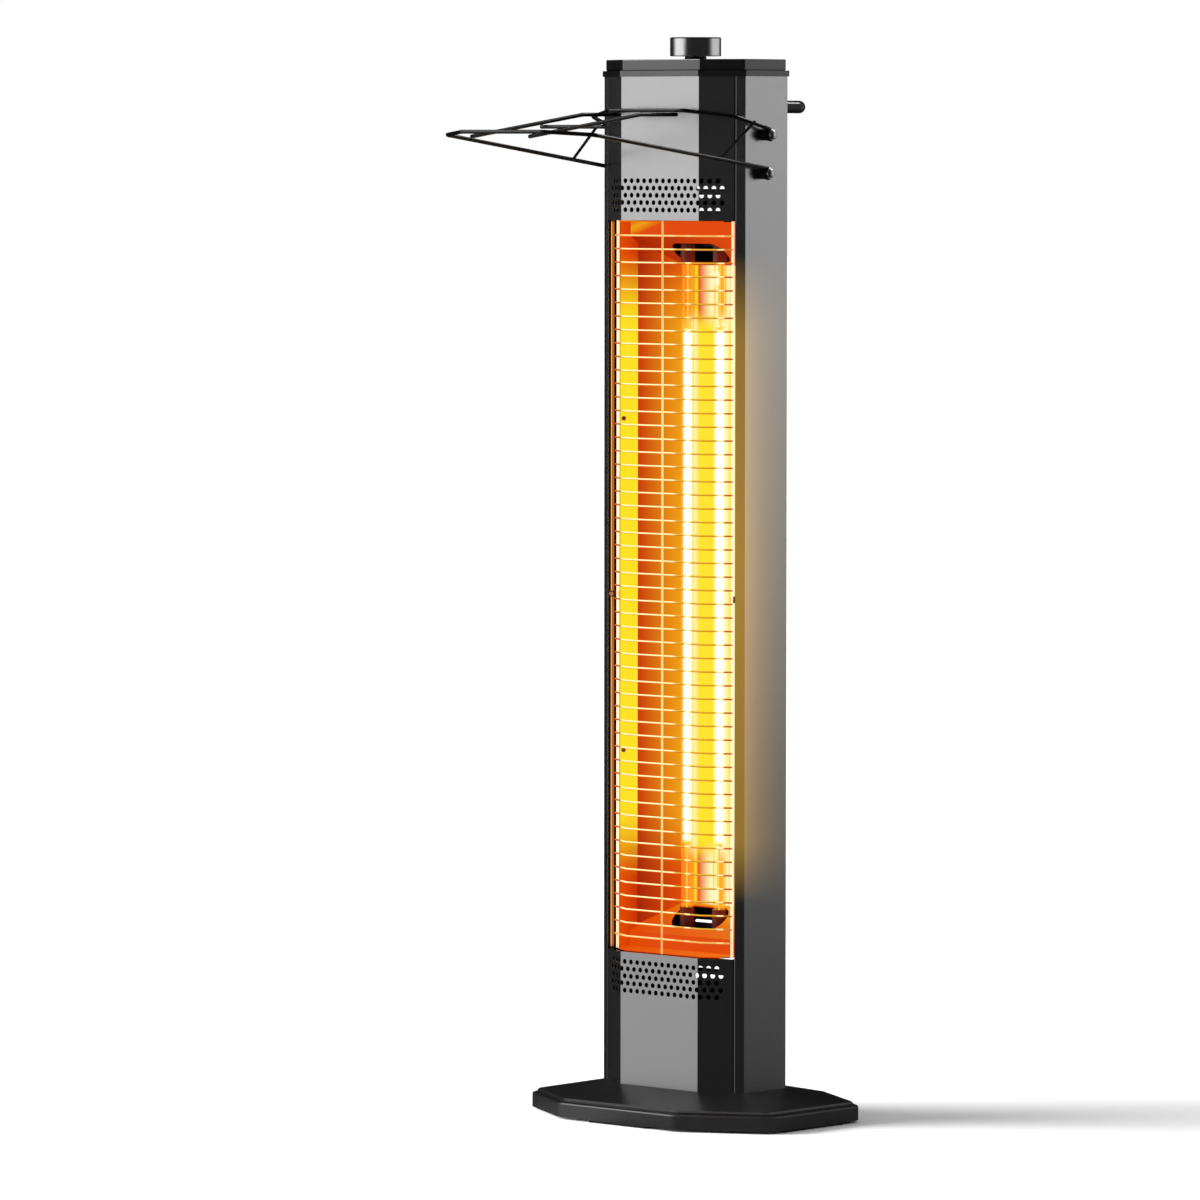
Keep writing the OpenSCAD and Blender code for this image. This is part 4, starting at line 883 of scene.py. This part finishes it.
t = Tree("wound_coil", [
    ("Turns", "Float", coil_turns), ("Pitch", "Float", coil_pitch),
    ("Coil Radius", "Float", coil_out), ("Wire", "Float", coil_wire),
    ("Start", "Vector", None), ("Material", "Material", None)])
spiral = t.make(
    "CurveSpiral", resolution=12, rotations=t.into["Turns"], start_radius=t.into["Coil Radius"],
    end_radius=t.into["Coil Radius"], height=t.product(t.into["Turns"], t.into["Pitch"]))
wound = t.make("Transform", geometry=spiral.outputs[0], translation=t.into["Start"])
leads = t.make("MeshToCurve", mesh=t.into["Geometry"])
t.close(t.sweep(t.join(wound, leads), t.into["Wire"], 6).outputs[0])

coil_low, coil_high, lamp_low, lamp_high = 272.35, 791.35, 199.85, 863.85
lamp_x, lamp_y = 21.6, 13
for label, axis in (("left", -lamp_x), ("right", lamp_x)):
    out = axis + coil_out * 1000
    # Each lead runs down the axis and steps out to the coil: (end of the coil, of the lamp, way)
    lines = [
        [(out, lamp_y, end), (axis + 1, lamp_y, end + 1.4 * way),
         (axis, lamp_y, end + 2.6 * way), (axis, lamp_y, far)]
        for end, far, way in ((coil_low, lamp_low, -1), (coil_high, lamp_high, 1))
    ]
    lines[0].reverse()
    coil = baked(
        chains(label + "_leads", *lines), t.tree, label + "_coil", turns=coil_turns,
        pitch=coil_pitch, coil_radius=coil_out, wire=coil_wire,
        start=mm(axis, lamp_y, coil_low), material=coil_lit)
    place_of(coil, "tower", label + "_element")

# %% [markdown]
# ## Cap lid
# The lid is pressed sheet with the column's eight sides. Rings of eight corners, each with its
# inset and height, are joined from the narrow neck over the rim to the softened upper edge.

# %% Cap lid


def eight_corners(inset, z):
    """The column's outline moved inward, as eight points at one height."""
    a, b = 94.4 - inset, 53.0 - inset
    f, e = 51.7 - 0.2388 * inset, 31.3 - 0.6146 * inset
    front = [(f, -b, z), (a, -e, z), (a, e, z), (f, b, z)]
    return front + [(-x, -y, z) for x, y, z in front]


rings = [eight_corners(inset, z) for inset, z in (
    (1.9, 1046.74), (1.9, 1047.4), (1.5, 1047.45),
    (1.5, 1057.1), (1.7, 1057.6), (2.2, 1057.8))]
points = [p for ring in rings for p in ring]
faces = [list(range(7, -1, -1)), list(range(len(points) - 8, len(points)))]
for row in range(len(rings) - 1):
    for i in range(8):
        j = (i + 1) % 8
        faces.append([8 * row + i, 8 * row + j, 8 * row + 8 + j, 8 * row + 8 + i])
lid = shape("pressed_lid", points, faces=faces)
lid.data.materials.append(cap_black)
place_of(lid, "tower", "top_cap")
print(lid.name, len(faces), "faces")

# %% [markdown]
# ## Rack screws
# Four domed screws with washers clamp the rack's eyes. The profile is turned once round its axis,
# a cross is cut into the head, and the result is placed on a pair of points on either side.

# %% Tree: four cross-head screws
profile = [
    (0, -4.8), (2.5, -4.8), (2.5, 10.6), (5.3, 10.6), (5.5, 10.8), (5.5, 11.6), (5.3, 11.8),
    (4.97, 11.8)]
for degrees in range(0, 91, 15):
    angle = math.radians(degrees)
    profile.append((4.97 * math.cos(angle), 12.3 + 2.47 * math.sin(angle)))
turned = chains("turned_screw", [(r, 0, z) for r, z in profile])
bm = bmesh.new()
bm.from_mesh(turned.data)
bmesh.ops.spin(
    bm, geom=bm.verts[:] + bm.edges[:], cent=(0, 0, 0), axis=(0, 0, 1), dvec=(0, 0, 0),
    angle=math.tau, steps=32)
bmesh.ops.remove_doubles(bm, verts=bm.verts, dist=mm(0.01))
bmesh.ops.recalc_face_normals(bm, faces=bm.faces)
bm.to_mesh(turned.data)
bm.free()

slot_length, slot_width, slot_floor, cutter_height = mm(5.2), mm(1.1), mm(13.2), mm(6)
t = Tree("cross_screws", [
    ("Slot Length", "Float", slot_length), ("Slot Width", "Float", slot_width),
    ("Slot Floor", "Float", slot_floor), ("Out", "Float", body_half),
    ("Material", "Material", None)])
size = t.vector(t.into["Slot Length"], t.into["Slot Width"], cutter_height)
bar = t.make("MeshCube", size=size).outputs[0]
lift = t.vector(0.0, 0.0, t.math("ADD", t.into["Slot Floor"], cutter_height / 2))
cross = t.join(*[
    t.make("Transform", geometry=bar, translation=lift, rotation=(0, 0, turn))
    for turn in (0.0, math.pi / 2)])
cut = t.node("GeometryNodeMeshBoolean", operation="DIFFERENCE")
t.put(cut.inputs["Mesh 1"], t.into["Geometry"])
t.put(cut.inputs["Mesh 2"], cross)
sides = []
for sign in (-1, 1):
    start = t.vector(t.product(t.into["Out"], float(sign)), mm(-7.5), mm(945.1))
    pair = t.make(
        "MeshLine", {"mode": "OFFSET"}, count=2, start_location=start, offset=mm(0, 3.5, 38.2))
    sides.append(t.make(
        "InstanceOnPoints", points=pair.outputs[0], instance=cut.outputs[0],
        rotation=(0, sign * math.pi / 2, 0)))
t.close(t.join(*sides))
screws = baked(
    turned, t.tree, "rack_cross_screws", slot_length=slot_length, slot_width=slot_width,
    slot_floor=slot_floor, out=body_half, material=screw_dark)
place_of(screws, "tower", "rack_screws")

# %% [markdown]
# ## Grille
# Fifty-three wires lie one above the other at an even pitch, each bent where the column's front
# meets its chamfers. One bent wire is swept once and then placed on a line of points, so the
# count and the pitch are plain inputs.

# %% Tree: stacked grille wires
wire_count, wire_pitch, wire_low, wire_width = 53, mm(13.5), mm(180.85), mm(1.8)
bend_radius = mm(3)

t = Tree("grille_stack", [
    ("Count", "Int", wire_count), ("Pitch", "Float", wire_pitch), ("Lowest", "Float", wire_low),
    ("Diameter", "Float", wire_width), ("Bend Radius", "Float", bend_radius),
    ("Material", "Material", None)])
path = t.make("MeshToCurve", mesh=t.into["Geometry"])
bent = t.make(
    "FilletCurve", {"mode": "POLY"}, curve=path.outputs[0], count=5,
    radius=t.into["Bend Radius"], limit_radius=True)
single = t.sweep(bent.outputs[0], t.into["Diameter"], 10)
line = t.make(
    "MeshLine", {"mode": "OFFSET"}, count=t.into["Count"],
    start_location=t.vector(0.0, 0.0, t.into["Lowest"]),
    offset=t.vector(0.0, 0.0, t.into["Pitch"]))
stacked = t.make("InstanceOnPoints", points=line.outputs[0], instance=single.outputs[0])
t.close(stacked.outputs[0])

wire_end, wire_bend = (78.5, -31.865, 0), (50.095, -46.3, 0)
right_half = [wire_bend, wire_end]
grille_path = chains(
    "grille_path", [(-x, y, z) for x, y, z in reversed(right_half)] + right_half)
grille = baked(
    grille_path, t.tree, "grille_wires_bent", count=wire_count, pitch=wire_pitch,
    lowest=wire_low, diameter=wire_width, bend_radius=bend_radius, material=grille_lit)
place_of(grille, "tower", "grille_wires")

# The upright comes from the same tree: one wire, as long as its CAD node and in its middle
low_corner, high_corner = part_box("grille_upright")
middle_x, middle_y, _ = [500 * (a + b) for a, b in zip(low_corner, high_corner)]
upright_path = chains("upright_path", [
    (middle_x, middle_y, 1000 * corner[2]) for corner in (low_corner, high_corner)])
upright = baked(
    upright_path, t.tree, "grille_upright_wire", count=1, pitch=0.0, lowest=0.0,
    diameter=mm(2.1), bend_radius=0.0, material=upright_lit)
place_of(upright, "tower", "grille_upright")

# %% [markdown]
# ## Stage: floor, white surroundings and flags
# A white world gives the white background and a soft light from everywhere. A metal column in it
# would mirror white on all sides, so the studio has black flags, as a photographer would set up:
# a dark wall round the heater, seen only in reflections, with an opening on either side where
# the white shows through.

# %% World and floor
world = bpy.data.worlds.new("white_studio")
bpy.context.scene.world = world
world.use_nodes = True
s = Shader(world.node_tree)
surroundings = world.node_tree.nodes["Background"]
surroundings.inputs["Color"].default_value = (1, 1, 1, 1)
ray = s.node("ShaderNodeLightPath").outputs
mirrored = s.math("MAXIMUM", ray["Is Glossy Ray"], ray["Is Transmission Ray"])
seen = s.math("MAXIMUM", ray["Is Camera Ray"], mirrored)
s.put(surroundings.inputs["Strength"], s.spread(seen, 0.0, 1.0, 0.45, 1.0, smooth=False))

floor_mesh = bpy.data.meshes.new("floor")
bm = bmesh.new()
bmesh.ops.create_circle(bm, cap_ends=True, segments=96, radius=60)
bm.to_mesh(floor_mesh)
bm.free()
floor = add("floor", floor_mesh)
floor_white = bpy.data.materials.new("floor_white")
floor_white.use_nodes = True
sheen = floor_white.node_tree.nodes["Principled BSDF"].inputs
sheen["Base Color"].default_value = (1, 1, 1, 1)
sheen["Roughness"].default_value = 0.9
sheen["Specular IOR Level"].default_value = 0.0
floor_mesh.materials.append(floor_white)
print("floor and world ready")

# %% Flags round the heater
flag_radius, flag_height, flag_gap = 1.3, 2.6, 0.002
flags_mesh = bpy.data.meshes.new("flags")
bm = bmesh.new()
bmesh.ops.create_cone(
    bm, cap_ends=True, segments=96, radius1=flag_radius, radius2=flag_radius, depth=flag_height)
bmesh.ops.translate(bm, verts=bm.verts, vec=(0, 0, flag_height / 2 + flag_gap))
bm.to_mesh(flags_mesh)
bm.free()
flags = add("flags", flags_mesh)

flag_cloth = bpy.data.materials.new("flag_cloth")
flag_cloth.use_nodes = True
s = Shader(flag_cloth.node_tree)
s.tree.nodes.remove(s.tree.nodes["Principled BSDF"])
_, x, y, z = s.place()
bearing = s.math("MULTIPLY", s.math("ARCTAN2", y, x), 180 / math.pi)


def opening(centre, flat, fade, top, bottom):
    """How open the wall is at a bearing: fully over `flat` degrees, then fading out."""
    apart = s.math("ABSOLUTE", s.math("SUBTRACT", bearing, centre))
    across = s.spread(apart, flat, flat + fade, 1.0, 0.0)
    upward = s.spread(z, 0.05, 1.0, bottom, top, smooth=False)
    return s.math("MULTIPLY", across, upward)


left_gap = opening(-128.0, 16.0, 24.0, 1.0, 0.46)
right_gap = opening(56.0, 16.0, 26.0, 0.68, 0.10)
gap = s.math("ADD", left_gap, right_gap, clamp=True)
dark = s.node("ShaderNodeEmission")
dark.inputs["Color"].default_value = (0.02, 0.02, 0.02, 1)
clear = s.node("ShaderNodeBsdfTransparent")
mixed = s.node("ShaderNodeMixShader")
s.put(mixed.inputs[0], gap)
s.put(mixed.inputs[1], dark.outputs[0])
s.put(mixed.inputs[2], clear.outputs[0])
s.put(s.tree.nodes["Material Output"].inputs["Surface"], mixed.outputs[0])
flags_mesh.materials.append(flag_cloth)
for ray_kind in ("camera", "diffuse", "transmission", "shadow"):
    setattr(flags, "visible_" + ray_kind, False)
print("flags ready")

# %% Key light


def area_light(name, place, target_height, energy, *size):
    """An area light that looks at the heater's axis."""
    data = bpy.data.lights.new(name, "AREA")
    data.energy = energy
    data.size = size[0]
    if len(size) == 2:
        data.shape = "RECTANGLE"
        data.size_y = size[1]
    light = add(name, data)
    light.location = place
    toward = Vector((0, 0, target_height)) - light.location
    light.rotation_euler = toward.to_track_quat("-Z", "Y").to_euler()
    return light


key = area_light("key", (-2.6, -2.2, 2.6), 0.5, 45, 1.4, 1.8)
print("key light at", tuple(round(c, 2) for c in key.location))

# %% [markdown]
# The photograph's soft shadow runs off to the right. A wide, low sun from the left throws it, and
# light linking keeps that sun on the floor alone, so that it changes nothing on the heater.

# %% Low sun for the floor's shadow
sun_data = bpy.data.lights.new("low_sun", "SUN")
sun_data.energy = 9.2
sun_data.angle = math.radians(40)
low_sun = add("low_sun", sun_data)
travel = Vector((right.x, right.y, -math.tan(math.radians(14))))
low_sun.rotation_euler = travel.to_track_quat("-Z", "Y").to_euler()
sun_lit = bpy.data.collections.new("sun_lit")
sun_lit.objects.link(floor)
low_sun.light_linking.receiver_collection = sun_lit

# %% [markdown]
# The black wires carry thin bright lines in the photograph. Two small lights from behind and
# from the left, linked to the wires and the rack's screws alone, draw them.

# %% Glint lights on rack and handle
glint_lit = bpy.data.collections.new("glint_lit")
for name in black_wires.split():
    glint_lit.objects.link(nodes[name])
glint_lit.objects.link(screws)
for name, place in (("glint_back", (0.4, 2.0, 2.9)), ("glint_left", (-2.2, 0.5, 2.7))):
    glint = area_light(name, place, 0.95, 40, 0.7)
    glint.light_linking.receiver_collection = glint_lit
    glint.visible_diffuse = False
